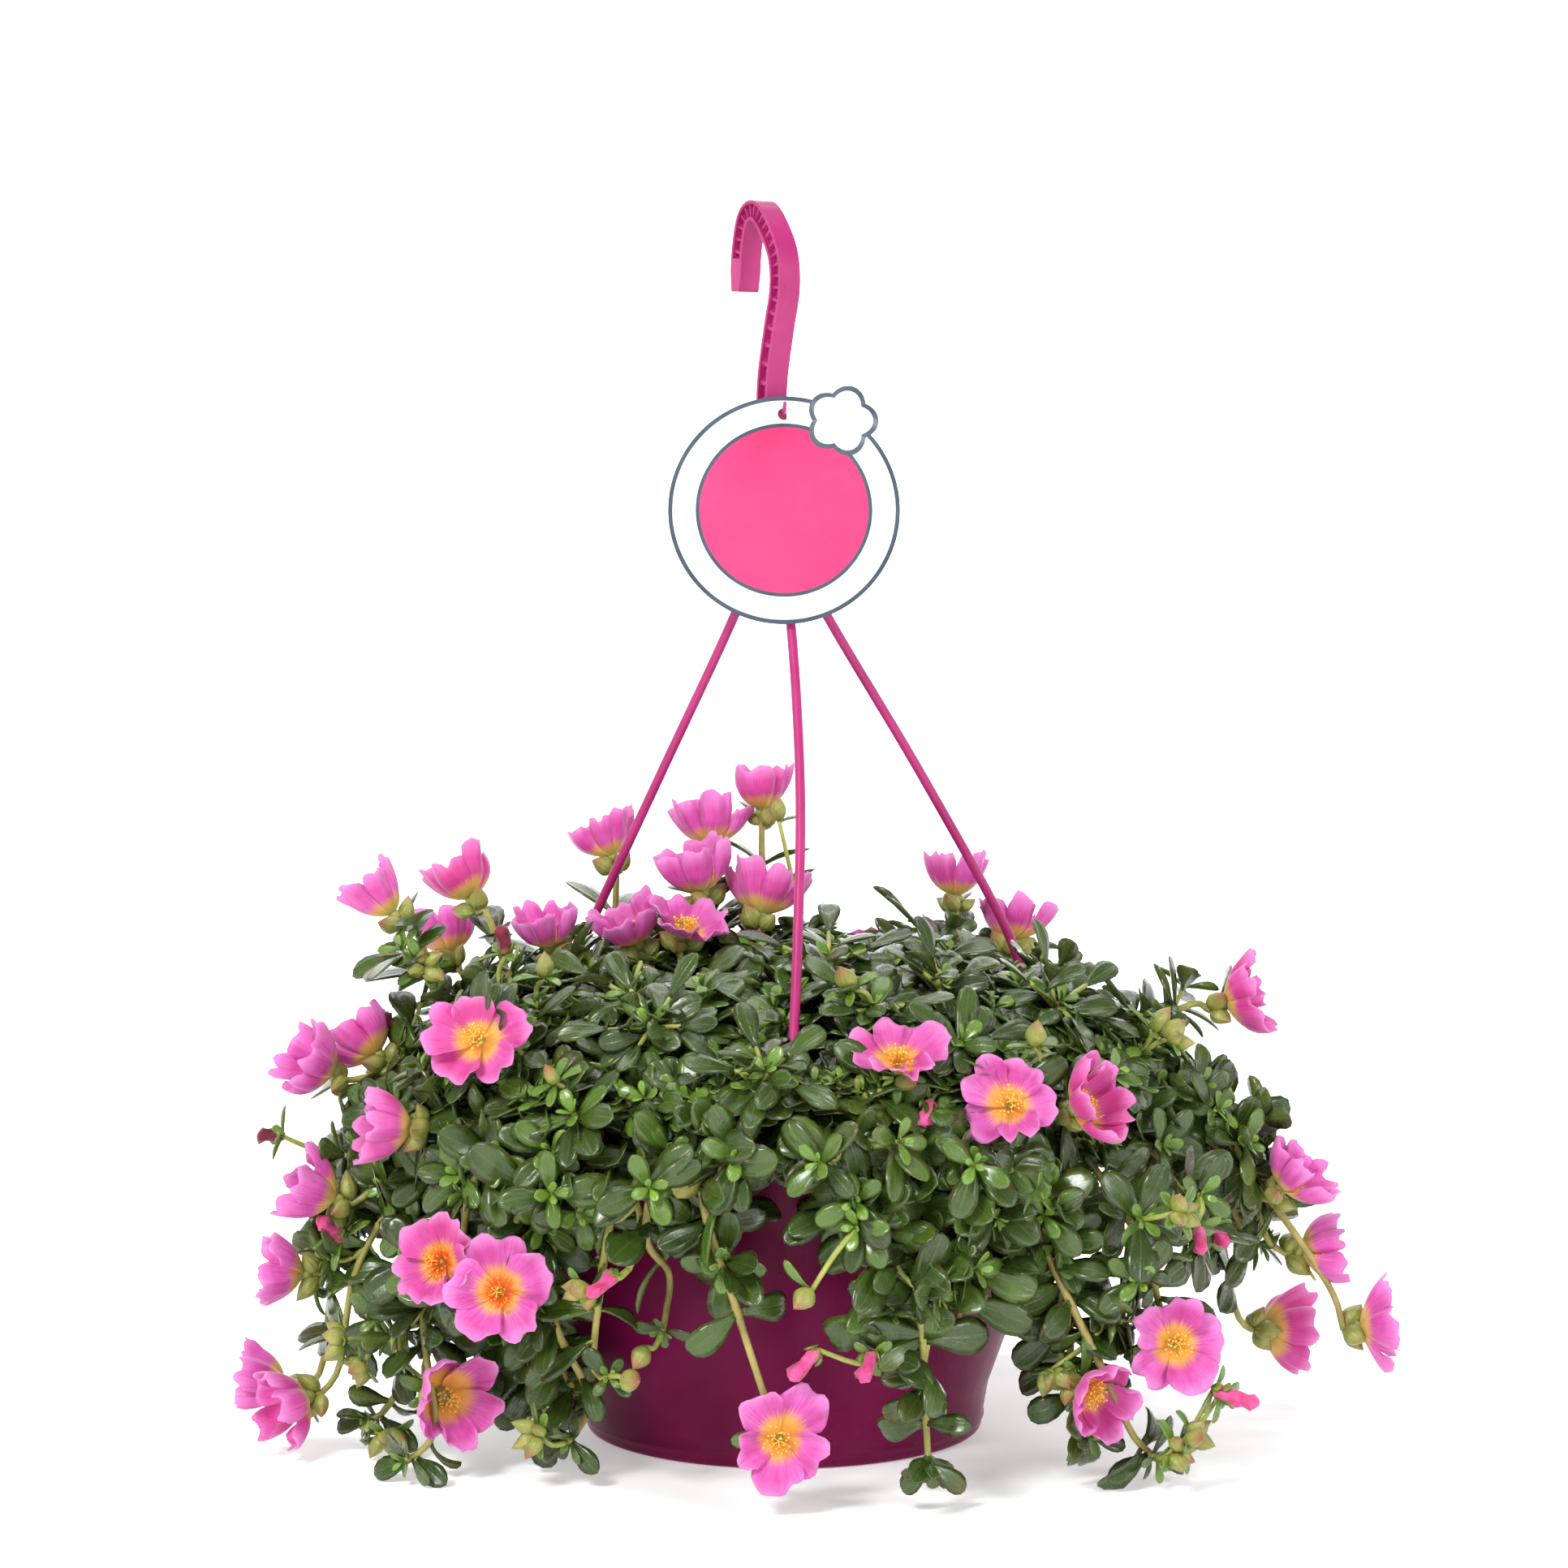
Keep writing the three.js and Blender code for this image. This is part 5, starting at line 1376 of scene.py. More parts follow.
def frame_whorl(sector, piece, station, end, draw, fine):
    index, point, way, right, other = station
    count, scale, lift = (3, 0.85, 1.1) if index == end else (2, 1, 0.7)
    start = int(draw() * 3)
    shapes = leaf_shapes(count, draw)
    if (piece, index) in NO_WHORL:
        return
    size, face_turn, swing = whorl_way.get((piece, index), (0, 0, 0))
    share = scale * LEAF_SIZES[size] * (1 - 0.3 * lowness(point) ** 2)
    up = way if point[2] > 170 else LIGHT + 0.7 * outward(point) + 0.4 * way
    for k, shape in enumerate(shapes):
        face = (start + face_turn + k) % 3
        apart = 20 * (2 * k - 1) if count == 2 else 0
        out = around(right, other, radians(120 * face + 60 + swing + apart + shape["turn"]))
        out = unit(out + way * lift * shape["rise"])
        frame_leaf(
            sector, point + way * STEM_BAND / 2 + out, out, up, LEAF_LENGTH * share * shape["long"] - 1,
            LEAF_WIDTH * share * shape["wide"], shape["bend"], fine,
        )


def grow_shoot(piece, place, facing, steps, pairs, bare, fine):
    place = np.array(place, float)
    sector = sector_at(turn_of(place))
    draw = seeded_draw(FRAME_SHOOT_SEED + piece)
    spin = 120 * draw()
    way = heading(*facing)
    tip = place - way * 1.9
    points = stem_points(sector, place, tip, way, STEM_SWAYS.get(piece, 0))
    line = np.vstack([spaced_curve(points, steps - 1), tip])
    points = [*ROUTES[piece], points[-1]] if piece in ROUTES else points
    leafy = [round_half(steps * (PAIRS_FROM + (1 - PAIRS_FROM) * (k + 0.5) / pairs)) for k in range(pairs)]
    for station in leafy_stations(line, spin, leafy + [steps] * bare):
        frame_whorl(sector, piece, station, steps, draw, fine)
    smooth = np.vstack([spaced_curve(points, 30), [tip - way * 3, tip]])
    trailing = place[2] <= TRAIL_HEIGHT
    hero, dense, low = (piece in kind for kind in (POT_TRAILS, DENSE_TRAILS, FLOOR_TRAILS))
    start, end = (0.12, 0.92) if trailing else (0.25, 0.8)
    if hero or not bare:
        end = 0.8
    thinning, sparse = (0.0, 0.2) if dense else (1.3 if hero else 0.7, 0.7)
    if low:
        thinning, sparse, end = 0.2, 0.1, 0.97
    pitch = 10.5 if dense else 12.5
    nodes = leafy_run(sector, smooth, start, end, pitch, fine, hero=hero or dense, thinning=thinning, sparse=sparse)
    rooted_stem(sector, smooth, 1.95, 1.4, 0.25 + 0.5 * fine(), nodes)
    if bare:
        shown = unit(way + 0.9 * outward(tip)) if trailing else way
        tip_rosette(sector, tip, shown, fine, TIP_SCALES.get(piece, 0.8), hero=hero)
        perches.append((tip + way * 2, way, sector))
    else:
        involucre(sector, tip - way * 3.5, way, fine)
    if trailing:
        for share in (0.16, 0.34, 0.56):
            at, along = place_on(smooth, run_lengths(smooth)[-1] * (share + 0.1 * (fine() - 0.5)))
            away = outward(at)
            sideways = cross([0, 0, 1.0], away) * (1 if fine() < 0.5 else -1)
            branch = along * 0.7 + away * (0.25 + 0.5 * fine()) + sideways * (0.4 + 0.8 * fine())
            reach = 16 + 20 * fine()
            if not (hero and share > 0.3) and at[2] > 60 * fine() + 20:
                side_branch(sector, at, branch, reach, fine)
    elif hypot(place[0], place[1]) >= UPRIGHT_REACH:
        at = smooth[len(smooth) // 2]
        side_branch(sector, at, outward(at) + heading(360 * fine(), 30) * 0.8, 14 + 12 * fine(), fine)


def add_bud(sector, at, way, draw, kind, length):
    """A pointed bud, a closed pink tube or a spent bloom, as a lobed spindle."""
    way = unit(way)
    right, other = cross_frame(way, draw() * 2 * pi)
    closed = kind == "bud"
    t, angles = np.linspace(0, 1, 9)[:, None], around_circle(12)[None]
    if closed:
        radius = 0.4 * length * np.sin(pi * np.minimum(t * 0.93 + 0.06, 1)) ** 0.85 * (1 - 0.42 * t)
        lobes, wave, bow, twist = 2, 0.16, 0.0, 0.5
    else:
        radius = np.interp(t, [0, 0.15, 0.4, 0.7, 0.92, 1], [1.4, 3.0, 2.5, 2.7, 3.3, 1.5])
        lobes, wave, bow, twist = 5, 0.24, 2.0, 2.2
        length = length * (1.35 if kind == "tube" else 0.9)
    phase = draw() * 6
    lump = 1 + wave * np.cos(lobes * angles + phase + twist * t)
    if not closed:
        lump = lump + 0.16 * np.sin(3 * angles + 9 * t + phase)
    spine = at + way * length * t + right * bow * t**2
    ring = right * np.cos(angles)[..., None] + other * np.sin(angles)[..., None]
    ends = np.array([at - way * 0.4, spine[-1] + way * 0.5])
    add_rings(
        sector.stems, spine[:, None] + (radius * lump)[..., None] * ring, ends, (angles / (2 * pi), t),
        [[0, 0], [0, 1]], 1 if closed else 2, draw(), float(kind == "spent"),
    )
    if not closed:
        add_cup(sector, at - way, way, draw)


def add_cup(sector, at, way, draw):
    """The green cup of two short sepals below a spent bloom."""
    right, _ = cross_frame(way, draw() * pi)
    for sign in (-1, 1):
        out = way + sign * right * 0.35
        leaf(sector, at + sign * right * 1.6, out, sign * right, 7.0, 5.2, draw, 0.8, checked=False, bend=-0.1)


def involucre(sector, at, way, draw):
    """The narrow curled leaves and the pale buds below an open bloom."""
    spin = draw() * 2 * pi
    for k in range(6):
        right, _ = cross_frame(way, spin + 2 * pi * k / 6 + 0.5 * (draw() - 0.5))
        out = right + way * (0.2 + 0.6 * draw())
        size = 12 + 10 * draw()
        start = at - way * 1.5 * draw() + right * 1.3
        leaf(sector, start, out, way, size, size * 0.36, draw, 0.2 + 0.3 * draw(), bend=0.25 + 0.6 * draw(), hero=True)
    for k in range(3 + int(draw() * 2)):
        right, _ = cross_frame(way, spin + 2 * pi * (k + 0.5) / 5 * 2 + 0.5 * draw())
        bud_way = unit(right + way * (0.45 + 0.5 * draw()))
        length = 10 + 4 * draw()
        start = at - way * 1.5 + right * 1.4
        if is_clear(start + bud_way * (length + 1), 0.4):
            add_bud(sector, start, bud_way, draw, "bud", length)


def grow_shoots():
    shoots = []
    for place, facing, _ in (bloom for group in BLOOMS for bloom in group):
        shoots.append((place, facing, *((3, 2) if place[2] > TRAIL_HEIGHT else (6, 1)), False))
    for place, facing, pairs in TRAILS:
        shoots.append((place, facing, 6 if place[2] < 60 else 4, pairs, True))
    draw = seeded_draw(SEED)
    for i in range(RIM_SHOOTS):
        turn = 360 * (i + 0.4 * draw()) / RIM_SHOOTS
        front_share = max(0.0, -sin(radians(turn)) - 0.5) * 2
        x, y, _ = polar(turn, 196 - 36 * front_share + 14 * (draw() - 0.5), 0)
        shoots.append(((x, y, 88 + 26 * front_share + 26 * (draw() - 0.5)), (turn, -35), 4, 1, True))
    for piece, shoot in enumerate(shoots):
        grow_shoot(piece, *shoot, seeded_draw(SHOOT_SEED + piece))


# Growth beside the pot and before its right half, which the frame leaves out, as lines down from the rim
SHADED_RUNS = [
    [(-113, -56, 176), (-137, -66, 140), (-134, -64, 80), (-116, -60, 20)],
    [(-104, -72, 176), (-127, -85, 136), (-120, -82, 74), (-99, -83, 14)],
    [(-120, -36, 176), (-146, -42, 138), (-142, -46, 76), (-128, -44, 16)],
    [(-122, -20, 176), (-140, -24, 120), (-126, -30, 70), (-112, -34, 14)],
    [(-98, -84, 176), (-116, -96, 130), (-108, -92, 78), (-88, -92, 30)],
    [(-110, -64, 176), (-128, -74, 130), (-120, -66, 80), (-104, -62, 34)],
    [(30, -114, 178), (48, -138, 148), (52, -150, 114), (46, -156, 82)],
    [(58, -104, 178), (74, -128, 148), (77, -140, 108), (70, -146, 66)],
    [(44, -108, 178), (60, -136, 142), (64, -148, 100), (56, -155, 52)],
]


def grow_shaded_runs():
    for index, points in enumerate(SHADED_RUNS):
        draw = later_draw(SHADED_SEED + index)
        sector = sector_at(turn_of(points[1]))
        line = spaced_curve(points, 24)
        nodes = leafy_run(sector, line, 0.2, 0.97, 7.5, draw, 26, 0.4, sparse=0.0)
        rooted_stem(sector, line, 1.8, 1.2, 0.4, nodes)
        end_shoot(sector, line[-1], unit(line[-1] - line[-2]), draw, 0.7)


# The turn from one seed of a sunflower to the next, in degrees
SUNFLOWER_TURN = 137.508


def grow_frame_rosettes():
    """The frame's large rosettes, each as five short side shoots about a young tip."""
    for i, ways in enumerate(ROSETTE_WAYS):
        if ways is None:
            continue
        size, nudge, spin = ways
        turn = SUNFLOWER_TURN * i + 20
        reach = (cushion_line(turn)[4][0] - 2) * sqrt((i + 0.6) / ROSETTES)
        draw, fine = seeded_draw(FRAME_ROSETTE_SEED + i), seeded_draw(ROSETTE_SEED + i)
        sector = sector_at(turn)
        start = draw() * 360 + spin
        shapes = leaf_shapes(5, draw)
        inside = inside_sector(sector, turn, reach)
        held = inside + (sector.turn - inside) * nudge
        axis = unit(polar(held, reach / 130, 1))
        foot = polar(held, reach, cushion_height(held, reach))
        centre = foot + axis * ROSETTE_RISE
        right = unit(cross([0.13, 0.21, 1], axis))
        other = cross(axis, right)
        for k, shape in enumerate(shapes):
            turn = radians(start + 72 * k + shape["turn"])
            out = unit(around(right, other, turn) + axis * 0.6 * shape["rise"])
            length = LEAF_LENGTH * ROSETTE_SCALE * LEAF_SIZES[size] * shape["long"]
            if length < 30:
                leaf(sector, centre, out, axis, length, 12, fine, checked=False, bend=shape["bend"])
                continue
            branch = centre + out * (length - 22)
            line = np.array([centre, (centre + branch) / 2 + axis * 0.8, branch])
            add_stem(sector, line, 1.4, 1.0, 6, 0.2, 0.3)
            leaf(sector, branch, out, axis, 22, 10.5, fine, checked=False, bend=shape["bend"])
            leaf_pair(sector, line[1], out, 0.5 * fine(), fine, 19, 0.6)
        end_shoot(sector, centre + axis * 3, axis, fine, 1.05, 1)
        add_stem(sector, np.array([foot - axis * 16, foot, centre + axis * 3]), 1.8, 1.3, 7, 0.3)


DOME_SHOOTS = 250
# The share of them on the dome itself, and how far down its line they go. The others grow on its skirt
DOME_PART = 0.62
DOME_END = 0.8
SKIRT_START = 0.72
SKIRT_RUN = 0.24
GOLDEN_SHARE = 0.618


def dome_place(turn, share):
    """A point and its outward direction on the cushion's line, by the share of its run from the middle."""
    line = np.array(cushion_line(turn))
    lengths = run_lengths(line)
    distance = lengths[-1] * share
    r, z = (np.interp(distance, lengths, column) for column in line.T)
    step = clamp(int(np.searchsorted(lengths, distance)), 1, len(line) - 1)
    dr, dz = line[step] - line[step - 1]
    return polar(turn, r, z), unit(polar(turn, -dz, dr))


def grow_dome():
    """Short shoots all over the dome, in a sunflower's order, down to the skirt over the pot's rim."""
    for i in range(DOME_SHOOTS):
        draw = later_draw(DOME_SEED + i)
        turn = SUNFLOWER_TURN * i + 12 * draw()
        on_dome = i < DOME_PART * DOME_SHOOTS
        if on_dome:
            share = sqrt((i + 0.5) / DOME_SHOOTS) / sqrt(DOME_PART) * DOME_END
        else:
            share = SKIRT_START + SKIRT_RUN * ((i * GOLDEN_SHARE) % 1)
        foot, normal = dome_place(turn, share)
        if not on_dome and hides_wall(foot):
            continue
        sector = sector_at(turn)
        axis = unit(normal + heading(360 * draw(), 20) * 0.5 + np.array([0, 0, 0.35]))
        rise = 2 + 9 * draw()
        centre = foot + normal * rise
        if not is_clear(centre, 3.5):
            continue
        below = foot - normal * 14 + heading(360 * draw(), 0) * 4
        line = bent([below, foot + normal * rise * 0.3 - axis * 5, centre], 7)
        lift, light = (1.1, 0.35) if share < 0.5 else (0.3, 0.7)
        places = leafy_run(sector, line, 0.4, 0.95, 7, draw, 24, lift, light)
        add_stem(sector, line, 1.7, 1.1, 6, 0.35 * draw() + 0.1, 0.1, places)
        end_shoot(sector, centre, axis, draw, 0.85 + 0.35 * draw(), 2)


INNER_LEAVES = 500


def grow_inner_leaves():
    """Older leaves deeper in the dome and its skirt, which close the gaps between the shoots."""
    draw = seeded_draw(INNER_SEED)
    for i in range(INNER_LEAVES):
        turn = SUNFLOWER_TURN * i
        share = sqrt(draw()) * 0.99
        place, normal = dome_place(turn, share)
        at = place - normal * (5 + 9 * draw())
        out = heading(360 * draw(), 60 * draw() - 20) + normal * (0.2 + 0.6 * draw())
        size = 22 + 7 * draw()
        leaf(sector_at(turn), at, out, normal + LIGHT * 0.4, size, size * 0.52, draw)


grow_shoots()
grow_shaded_runs()
grow_frame_rosettes()
grow_dome()
grow_inner_leaves()

# Buds and spent blooms of the photograph, each on the nearest shoot behind its pixel


def pixel_ray(px, py):
    forward = np.array([0, cos(CAMERA_PITCH), -sin(CAMERA_PITCH)])
    up = np.array([0, sin(CAMERA_PITCH), cos(CAMERA_PITCH)])
    right = np.array([1.0, 0, 0])
    return forward + right * (px - PHOTO_MIDDLE) / FOCAL_PIXELS - up * (py - PHOTO_MIDDLE) / FOCAL_PIXELS


def bud_stalk(ray, spots, ways):
    """The stalk from the nearest perch to a pixel's sight line that leaves the blooms in sight, or None."""
    depth = ((spots - CAMERA_PLACE) @ ray) / (ray @ ray)
    off = np.sqrt(((CAMERA_PLACE + depth[:, None] * ray - spots) ** 2).sum(1))
    near = np.where(off < max(14.0, off.min() + 4))[0]
    for pick in near[np.argsort(depth[near])]:
        at, way = spots[pick], ways[pick]
        aim = CAMERA_PLACE + ray * (depth[pick] - 6)
        stalk = aim - at
        line = bent([at - way * 2, at + way * 3 + stalk * 0.4, aim], 7)
        if is_clear(aim, 3) and not any(hides_bloom(point) for point in line[2:]):
            return pick, line, stalk
    return None


def grow_buds():
    spots, ways = (np.array([perch[k] for perch in perches]) for k in (0, 1))
    for index, (px, py, kind) in enumerate(BUDS):
        draw = later_draw(BUD_SEED + index)
        found = bud_stalk(pixel_ray(px, py), spots, ways)
        if found is None:
            continue
        pick, line, stalk = found
        sector, way, aim = perches[pick][2], ways[pick], line[-1]
        reach = float(np.sqrt(stalk @ stalk))
        add_stem(sector, line, 1.35, 1.1, 6, 0.3, 0.4)
        bud_way = unit(unit(stalk) + way * 0.8) if reach > 3 else way
        if kind == "tube":
            bud_way = unit(bud_way + np.array([0.5 * (draw() - 0.5), -0.3, -0.5]))
        if kind == "cluster":
            for k in range(4):
                out, _ = cross_frame(bud_way, 1.57 * k + draw())
                add_bud(sector, aim + out * 1.5, bud_way + out * (0.5 + 0.5 * draw()), draw, "bud", 9 + 4 * draw())
        else:
            add_bud(sector, aim, bud_way, draw, kind, 11 + 3 * draw())
        for k in range(4):
            out, _ = cross_frame(bud_way, 1.6 * k + draw())
            leaf(sector, aim + out, out + bud_way * 0.3, bud_way, 10 + 6 * draw(), 5.4, draw, 0.5)


grow_buds()

# Single leaves that the photograph shows off-colour: pixel, and 1 for a yellowed or 2 for a dried one
ODD_LEAVES = [(865, 1450, 1), (750, 1790, 2)]


def mark_odd_leaves():
    for px, py, kind in ODD_LEAVES:
        ray = pixel_ray(px, py)
        best = None
        for item in (item for sector in sectors for item in sector.leaves if item["length"] > 18):
            away = item["at"] + item["out"] * item["length"] * 0.6 - CAMERA_PLACE
            depth = (away @ ray) / (ray @ ray)
            miss = ray * depth - away
            cost = sqrt(miss @ miss) * 14 + depth
            if best is None or cost < best[0]:
                best = (cost, item)
        best[1]["kind"] = kind


mark_odd_leaves()

for sector in sectors:
    greens = Batch()
    add_leaves(greens, sector.leaves)
    make_piece(f"{sector.node}_leaves", greens, [LEAF, AGED_LEAF, DRY_LEAF], [sector.node])
    make_piece(f"{sector.node}_shoots", sector.stems, [STEM, BUD, SPENT], [sector.node])

# The dark body below the leaves: it stands for the inner growth, and its colour, darker than the leaves', is painted
# shade

CORE_TURNS = 96
CORE_STEPS = 26
CORE_DEPTH = 16
CORE_REACH = RIM_RADIUS + 3


def make_core():
    """One lumpy body under the dome's leaves, closed by a skirt round the pot's rim down to the soil. Its dark colour
    is partly painted shade.
    """
    rng = np.random.default_rng(SEED)
    rows = []
    for step in range(1, CORE_STEPS + 1):
        row = []
        for k in range(CORE_TURNS):
            place, normal = dome_place(360 * k / CORE_TURNS, step / CORE_STEPS)
            point = place - normal * (CORE_DEPTH + 3 * sin(0.9 * k + step) + 2.5 * rng.random())
            reach = hypot(point[0], point[1])
            if point[2] < POT_HEIGHT + 3 and reach < CORE_REACH:
                point[:2] *= CORE_REACH / reach
            row.append(point)
        rows.append(row)
    for reach, height in ((128.5, 167.5), (112, 167.5), (108, SOIL_TOP + 0.4)):
        rows.append([polar(360 * k / CORE_TURNS, reach, height) for k in range(CORE_TURNS)])
    rows = np.array(rows)
    ends = [[0, 0, 200 - CORE_DEPTH], [0, 0, SOIL_TOP + 0.4]]
    batch = Batch()
    add_rings(batch, rows, ends, (rows[..., 0] / 100, rows[..., 1] / 100), [[0, 0], [0, 0]], outward=False)
    make_piece("inner_growth_and_shade", batch, [INNER])


make_core()

# Blooms

PETAL_ROWS = 11
PETAL_COLUMNS = 15
PETAL_HALF_TURN = 42
PETAL_THICK = 0.3
# Blooms that open wider than the middle lie flatter. Beyond the next, the frame's petals have four draws, not three
SPREAD_MIDDLE = 0.6
SPREAD_NOTCHED = 0.7
EDGE_NOTCHED = (0, 1, 3, 2)
EDGE_PLAIN = (0, 1, 2, 1)
ORANGE_BLOOMS = [18, 19]


def petal_sheet(place, forward, side, other, spread, radius, middle, edge_draws, fine):
    """One petal as a thin shell with a notched, ruffled edge."""
    wide, closed = spread > SPREAD_MIDDLE, spread < SPREAD_MIDDLE
    tilt = (0.5 if wide else 0.34) * (fine() - 0.5)
    climb = radians(petal_climb(spread) + (6 if closed else 0)) + tilt
    t = np.linspace(-1, 1, PETAL_COLUMNS)[None]
    s = np.linspace(0.02, 1, PETAL_ROWS)[:, None]
    lengths = np.interp(t * 36, [-36, -16, 16, 36], edge_draws) * ((0.86 if wide else 0.98) + 0.2 * fine())
    phase, drift = fine() * 2 * pi, 0.24 * (fine() - 0.5)
    notch = (0.03 + 0.15 * fine() ** 1.5) * np.exp(-(((t - drift) / 0.17) ** 2))
    lobes = 0.04 * np.sin(3.1 * pi * t / 2 + phase) + 0.02 * np.sin(8.5 * t + 2.3 * phase)
    rim = (1 - 0.3 * np.abs(t) ** 3 - notch + lobes) * lengths
    belly, lag = (0.95, 0.2) if closed else (0.6, 0.26)
    radial, rise = (
        2 * s * (1 - s) * end * early + s**2 * end
        for end, early in ((radius * rim * cos(climb), belly), (radius * rim * sin(climb), lag))
    )
    width = 0.93 + 0.16 * fine() if wide else 0.92 + 0.12 * fine()
    half = radians(PETAL_HALF_TURN) * np.interp(s, [0, 0.12, 0.3, 0.55, 1], [1.35, 1.22, 1.08, 1.02, 1]) * width
    ripple = np.sin(2.1 * pi * t + phase + 1.5 * s) + 0.7 * np.sin(3.9 * pi * t + 2 * phase - 3 * s) * s
    ripple = (1.9 if closed else 2.3) * s**2.2 * ripple * (0.6 + 0.5 * fine())
    overlap = 0.6 * t * np.minimum(1, s * 2)
    cupped = (2.2 - 1.4 * spread) * s * t**2 - 0.7 * s * np.exp(-((t / 0.3) ** 2))
    flare = -3.2 * np.maximum(0, s - 0.72) ** 1.5 * (1.6 * fine() - 0.5) * (1.3 - 0.6 * spread) * 4
    furl = (4.4 * (fine() - 0.5)) * t * s**1.5 * spread
    angle = radians(middle + 5 * (fine() - 0.5)) + t * half
    lift = ripple * 0.7 + overlap + cupped + flare + furl
    radial = radial - lift * sin(climb)
    rise = rise + lift * cos(climb) - 0.6 + fine() * 0.4

    def sheet(deeper):
        out, high = radial + deeper * sin(climb), rise - deeper * cos(climb)
        x, y, z = (part[..., None] for part in (out * np.cos(angle), out * np.sin(angle), high))
        return (place + x * side + y * other + z * forward).reshape(-1, 3)

    count = PETAL_ROWS * PETAL_COLUMNS
    inner, grid = grid_faces(PETAL_ROWS, PETAL_COLUMNS), np.arange(count).reshape(PETAL_ROWS, PETAL_COLUMNS)
    border = np.concatenate([grid[0], grid[1:, -1], grid[-1, -2::-1], grid[-2:0:-1, 0]])
    after = np.roll(border, -1)
    edge = np.stack([border + count, after + count, after, border], 1)
    faces = np.vstack([inner[:, ::-1], inner + count, edge])
    uv = np.tile(grid_uv(0.5 + t / 2, s * rim / np.max(rim)), (2, 1))
    return np.vstack([sheet(0.0), sheet(PETAL_THICK)]), faces, uv, np.repeat([0.0, 1.0], count)


STAMENS = 34
STAMEN_TURN = 2.4
STAMEN_HEIGHT = 7.5


def add_stamens(batch, place, forward, side, other, fine, orange):
    """The stamens, each a thread with a grain at its end, and the style with its five arms."""
    for k in range(STAMENS):
        lean, length = 0.1 + 0.75 * fine(), STAMEN_HEIGHT * (0.7 + 0.5 * fine())
        away = around(side, other, STAMEN_TURN * k)
        way = unit(forward + away * lean)
        foot = place + away * (0.5 + 1.3 * fine())
        line = bent([foot, foot + way * length * 0.6 + forward * 0.7, foot + way * length], 4)
        add_tube(batch, line, 0.16, 4, 1, 0.5, orange)
        grain = np.array([line[-1] + way * ahead for ahead in (-0.2, 0.4, 0.9)])
        add_tube(batch, grain, [0.35, 0.6, 0.35], 5, 1, 0.5, orange)
    style = place + forward * STAMEN_HEIGHT * 0.9
    for turn in around_circle(5):
        away = around(side, other, turn)
        line = bent([place, style, style + forward * 2 + away * 2.4], 6)
        add_tube(batch, line, 0.22, 4, 1, 0.5, orange * 0.3)


def make_blooms():
    draw = seeded_draw(SEED)
    number = 0
    for index, group in enumerate(BLOOMS):
        batch = Batch()
        for place, facing, spread in group:
            size = BLOOM_RADIUS * (0.94 + 0.12 * draw())
            fine = later_draw(BLOOM_SEED + number)
            number += 1
            place, forward = np.array(place, float), heading(*facing)
            side = unit(cross([0.12, 0.07, 1], forward))
            other = cross(forward, side)
            spin = draw() * 72
            order = EDGE_NOTCHED if spread > SPREAD_NOTCHED else EDGE_PLAIN
            deep = 0.8 * fine() ** 2
            orange = 1.0 if number in ORANGE_BLOOMS else 0.3
            for petal in range(5):
                edge = []
                for _ in set(order):
                    edge.append(0.94 + 0.12 * draw())
                    draw()
                edge = [edge[k] for k in order]
                turn = petal * 72 + spin
                points, faces, uv, under = petal_sheet(place, forward, side, other, spread, size, turn, edge, fine)
                batch.add(points, faces, uv, 0, clamp(deep + 0.25 * fine(), 0, 1), orange, under)
            add_stamens(batch, place, forward, side, other, fine, orange)
            cup = bent([place - forward * 4.4, place - forward * 2, place + forward * 0.8], 6)
            add_tube(batch, cup, [1.5, 2.3, 2.9, 3.1, 2.8, 2.0], 10, 2, 0.2)
        name = f"bloom_{index + 1:02d}"
        make_piece(f"{name}_corolla", batch, [PETAL, STAMEN, BUD], [name])


make_blooms()

# Floor, light and camera


# The floor's way back and its way to both sides: where it leaves the level, the bend's radius, its top and steps
FLOOR_BACK = (1500, 3000, 7000, 48)
FLOOR_SIDE = (4500, 1500, 2600, 16)
# By name: place, aim and size in metres, and power in watts
LIGHTS = {
    "key": ((-1.0, -1.7, 1.7), (0, 0, 0.2), (0.6, 0.5), 43),
    "fill": ((1.6, -1.6, 1.1), (0, 0, 0.2), (0.6, 0.8), 18),
    "top": ((0, 0.0, 2.2), (0, 0, 0.1), (1.0, 1.0), 11),
    "back": ((0, 1.6, 3.0), (0, 4.2, 1.0), (3.0, 1.2), 160),
}
WORLD_LIGHT = 0.29


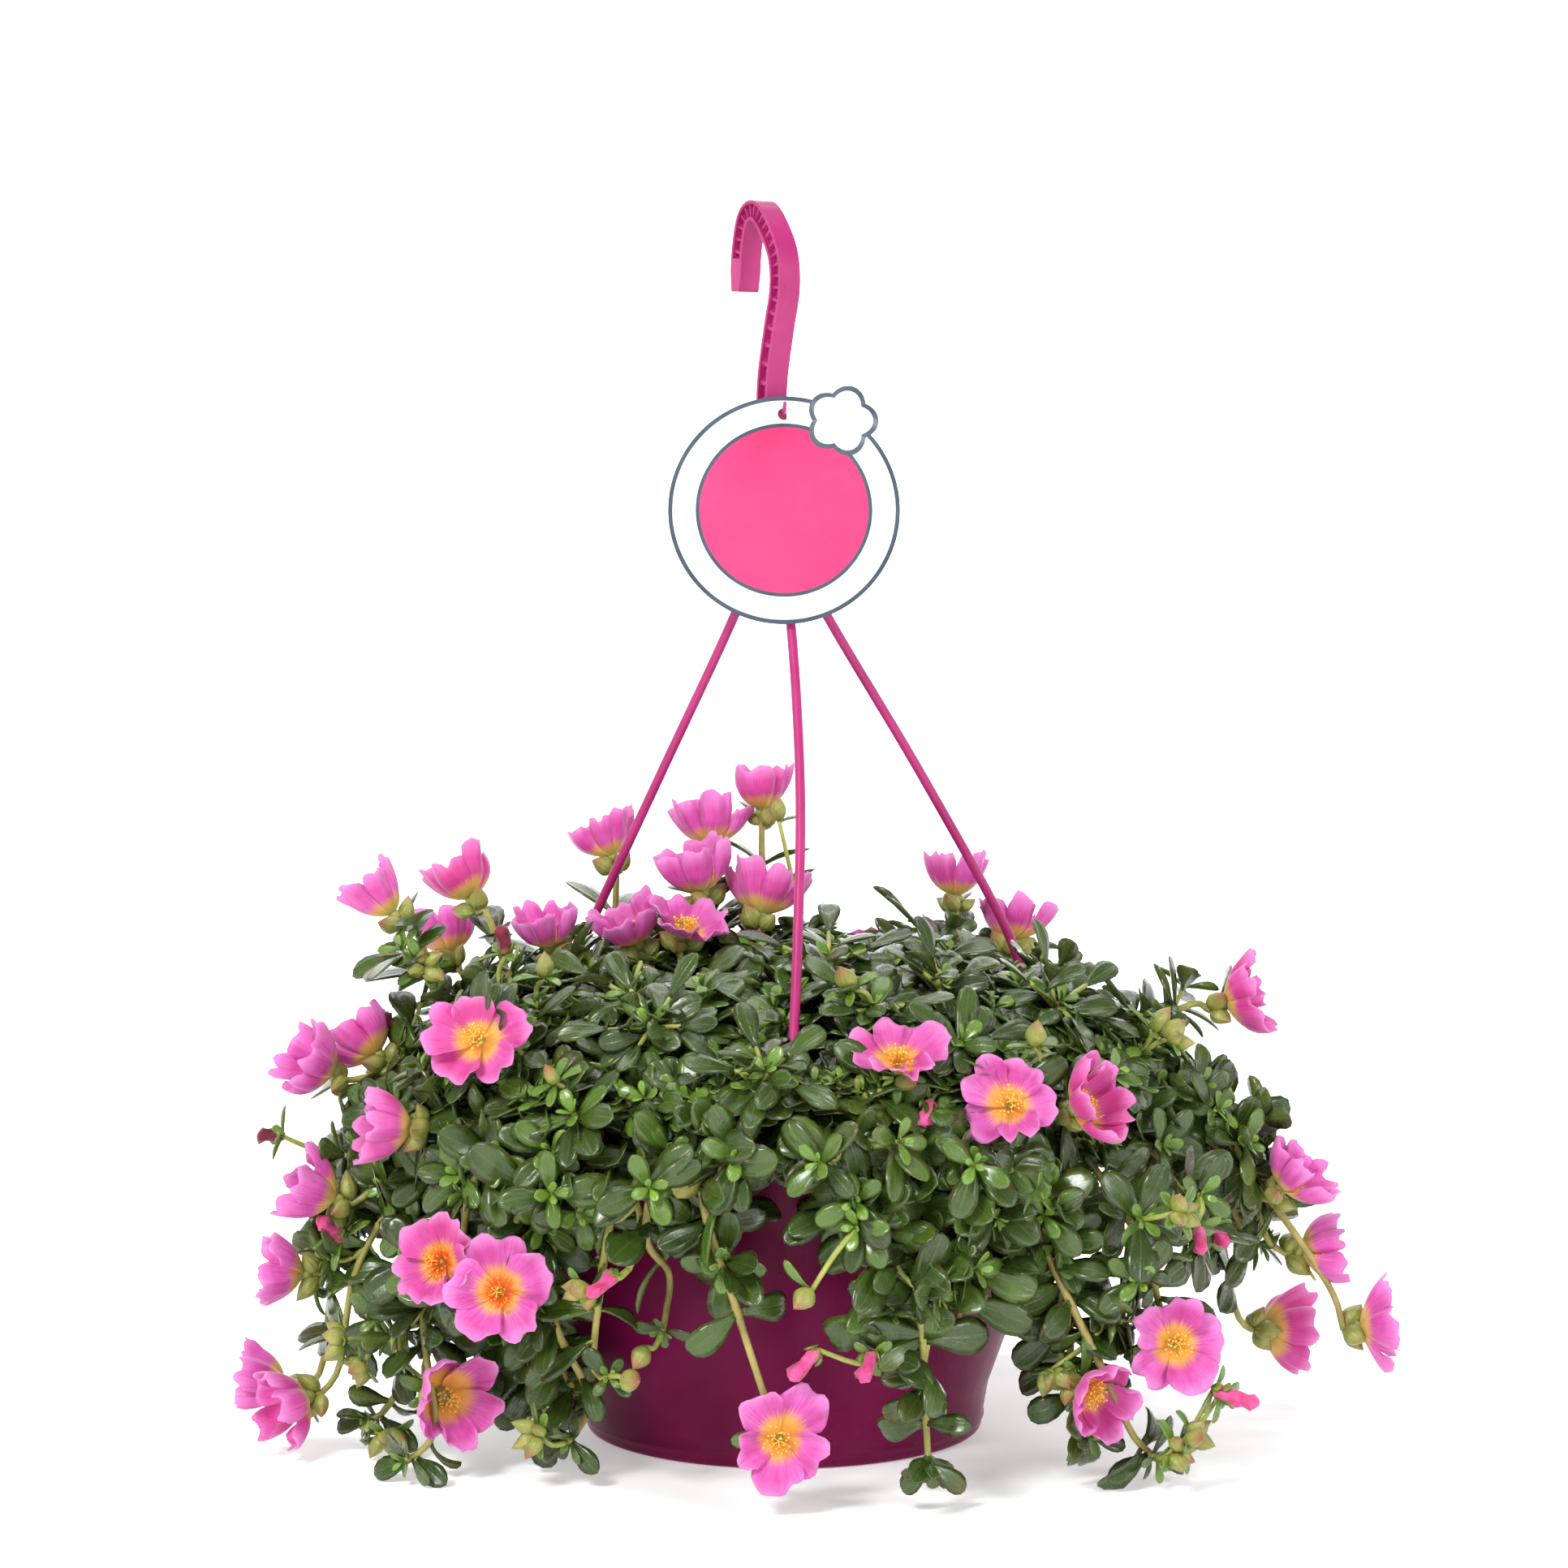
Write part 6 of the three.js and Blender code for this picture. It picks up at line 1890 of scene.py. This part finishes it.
def sweep(start, radius, top, steps):
    """A line that runs level to its start, then curves up to a wall, as distances and heights."""
    bend = [(start + radius * sin(a), radius * (1 - cos(a))) for a in np.linspace(0, pi / 2, steps)]
    return [*bend, (start + radius, top)]


def make_floor():
    """A pale tray: level below the pot, then curved up far behind it, at its sides and in front."""
    back, side = sweep(*FLOOR_BACK), sweep(*FLOOR_SIDE)
    mirrored = [(-d, z) for d, z in reversed(side)]
    run, across = mirrored + back, mirrored + side
    points = np.array([[x, y, zx + zy - 0.2] for y, zy in run for x, zx in across], float)
    mesh = bpy.data.meshes.new("floor")
    mesh.from_pydata((points * MM).tolist(), [], grid_faces(len(run), len(across))[:, ::-1].tolist())
    mesh.shade_smooth()
    f = Finish("floor_paper", Roughness=0.7, IOR=1.3, Emission_Color=(1, 1, 1, 1), Emission_Strength=0.35)
    mesh.materials.append(f.to(
        Base_Color=f.mix(f.noise(3, 3), (246, 246, 247), (250, 250, 250)),
        Roughness=f.scaled(f.noise(40, 3), 0.3, 0.7, 0.6, 0.8),
    ))
    add_object("floor", mesh)


def add_light(name, place, aim, size, power):
    data = bpy.data.lights.new(name, "AREA")
    data.shape = "RECTANGLE"
    data.size, data.size_y = size
    data.energy = power
    light = add_object(name, data)
    light.location = place
    light.rotation_euler = (Vector(aim) - Vector(place)).to_track_quat("-Z", "Y").to_euler()


make_floor()
for light, settings in LIGHTS.items():
    add_light(light, *settings)

world = bpy.data.worlds.new("studio")
world.use_nodes = True
sky = world.node_tree.nodes["Background"].inputs
sky["Color"].default_value = (1, 1, 1, 1)
sky["Strength"].default_value = WORLD_LIGHT
bpy.context.scene.world = world
bpy.context.scene.view_settings.view_transform = "Standard"

camera_data = bpy.data.cameras.new("camera")
camera_data.sensor_width = SENSOR_MM
camera_data.lens = FOCAL_PIXELS * SENSOR_MM / (2 * PHOTO_MIDDLE)
camera_data.clip_end = 50
camera = add_object("camera", camera_data)
camera.location = CAMERA_PLACE * MM
camera.rotation_euler = (pi / 2 - CAMERA_PITCH, 0, 0)
bpy.context.scene.camera = camera
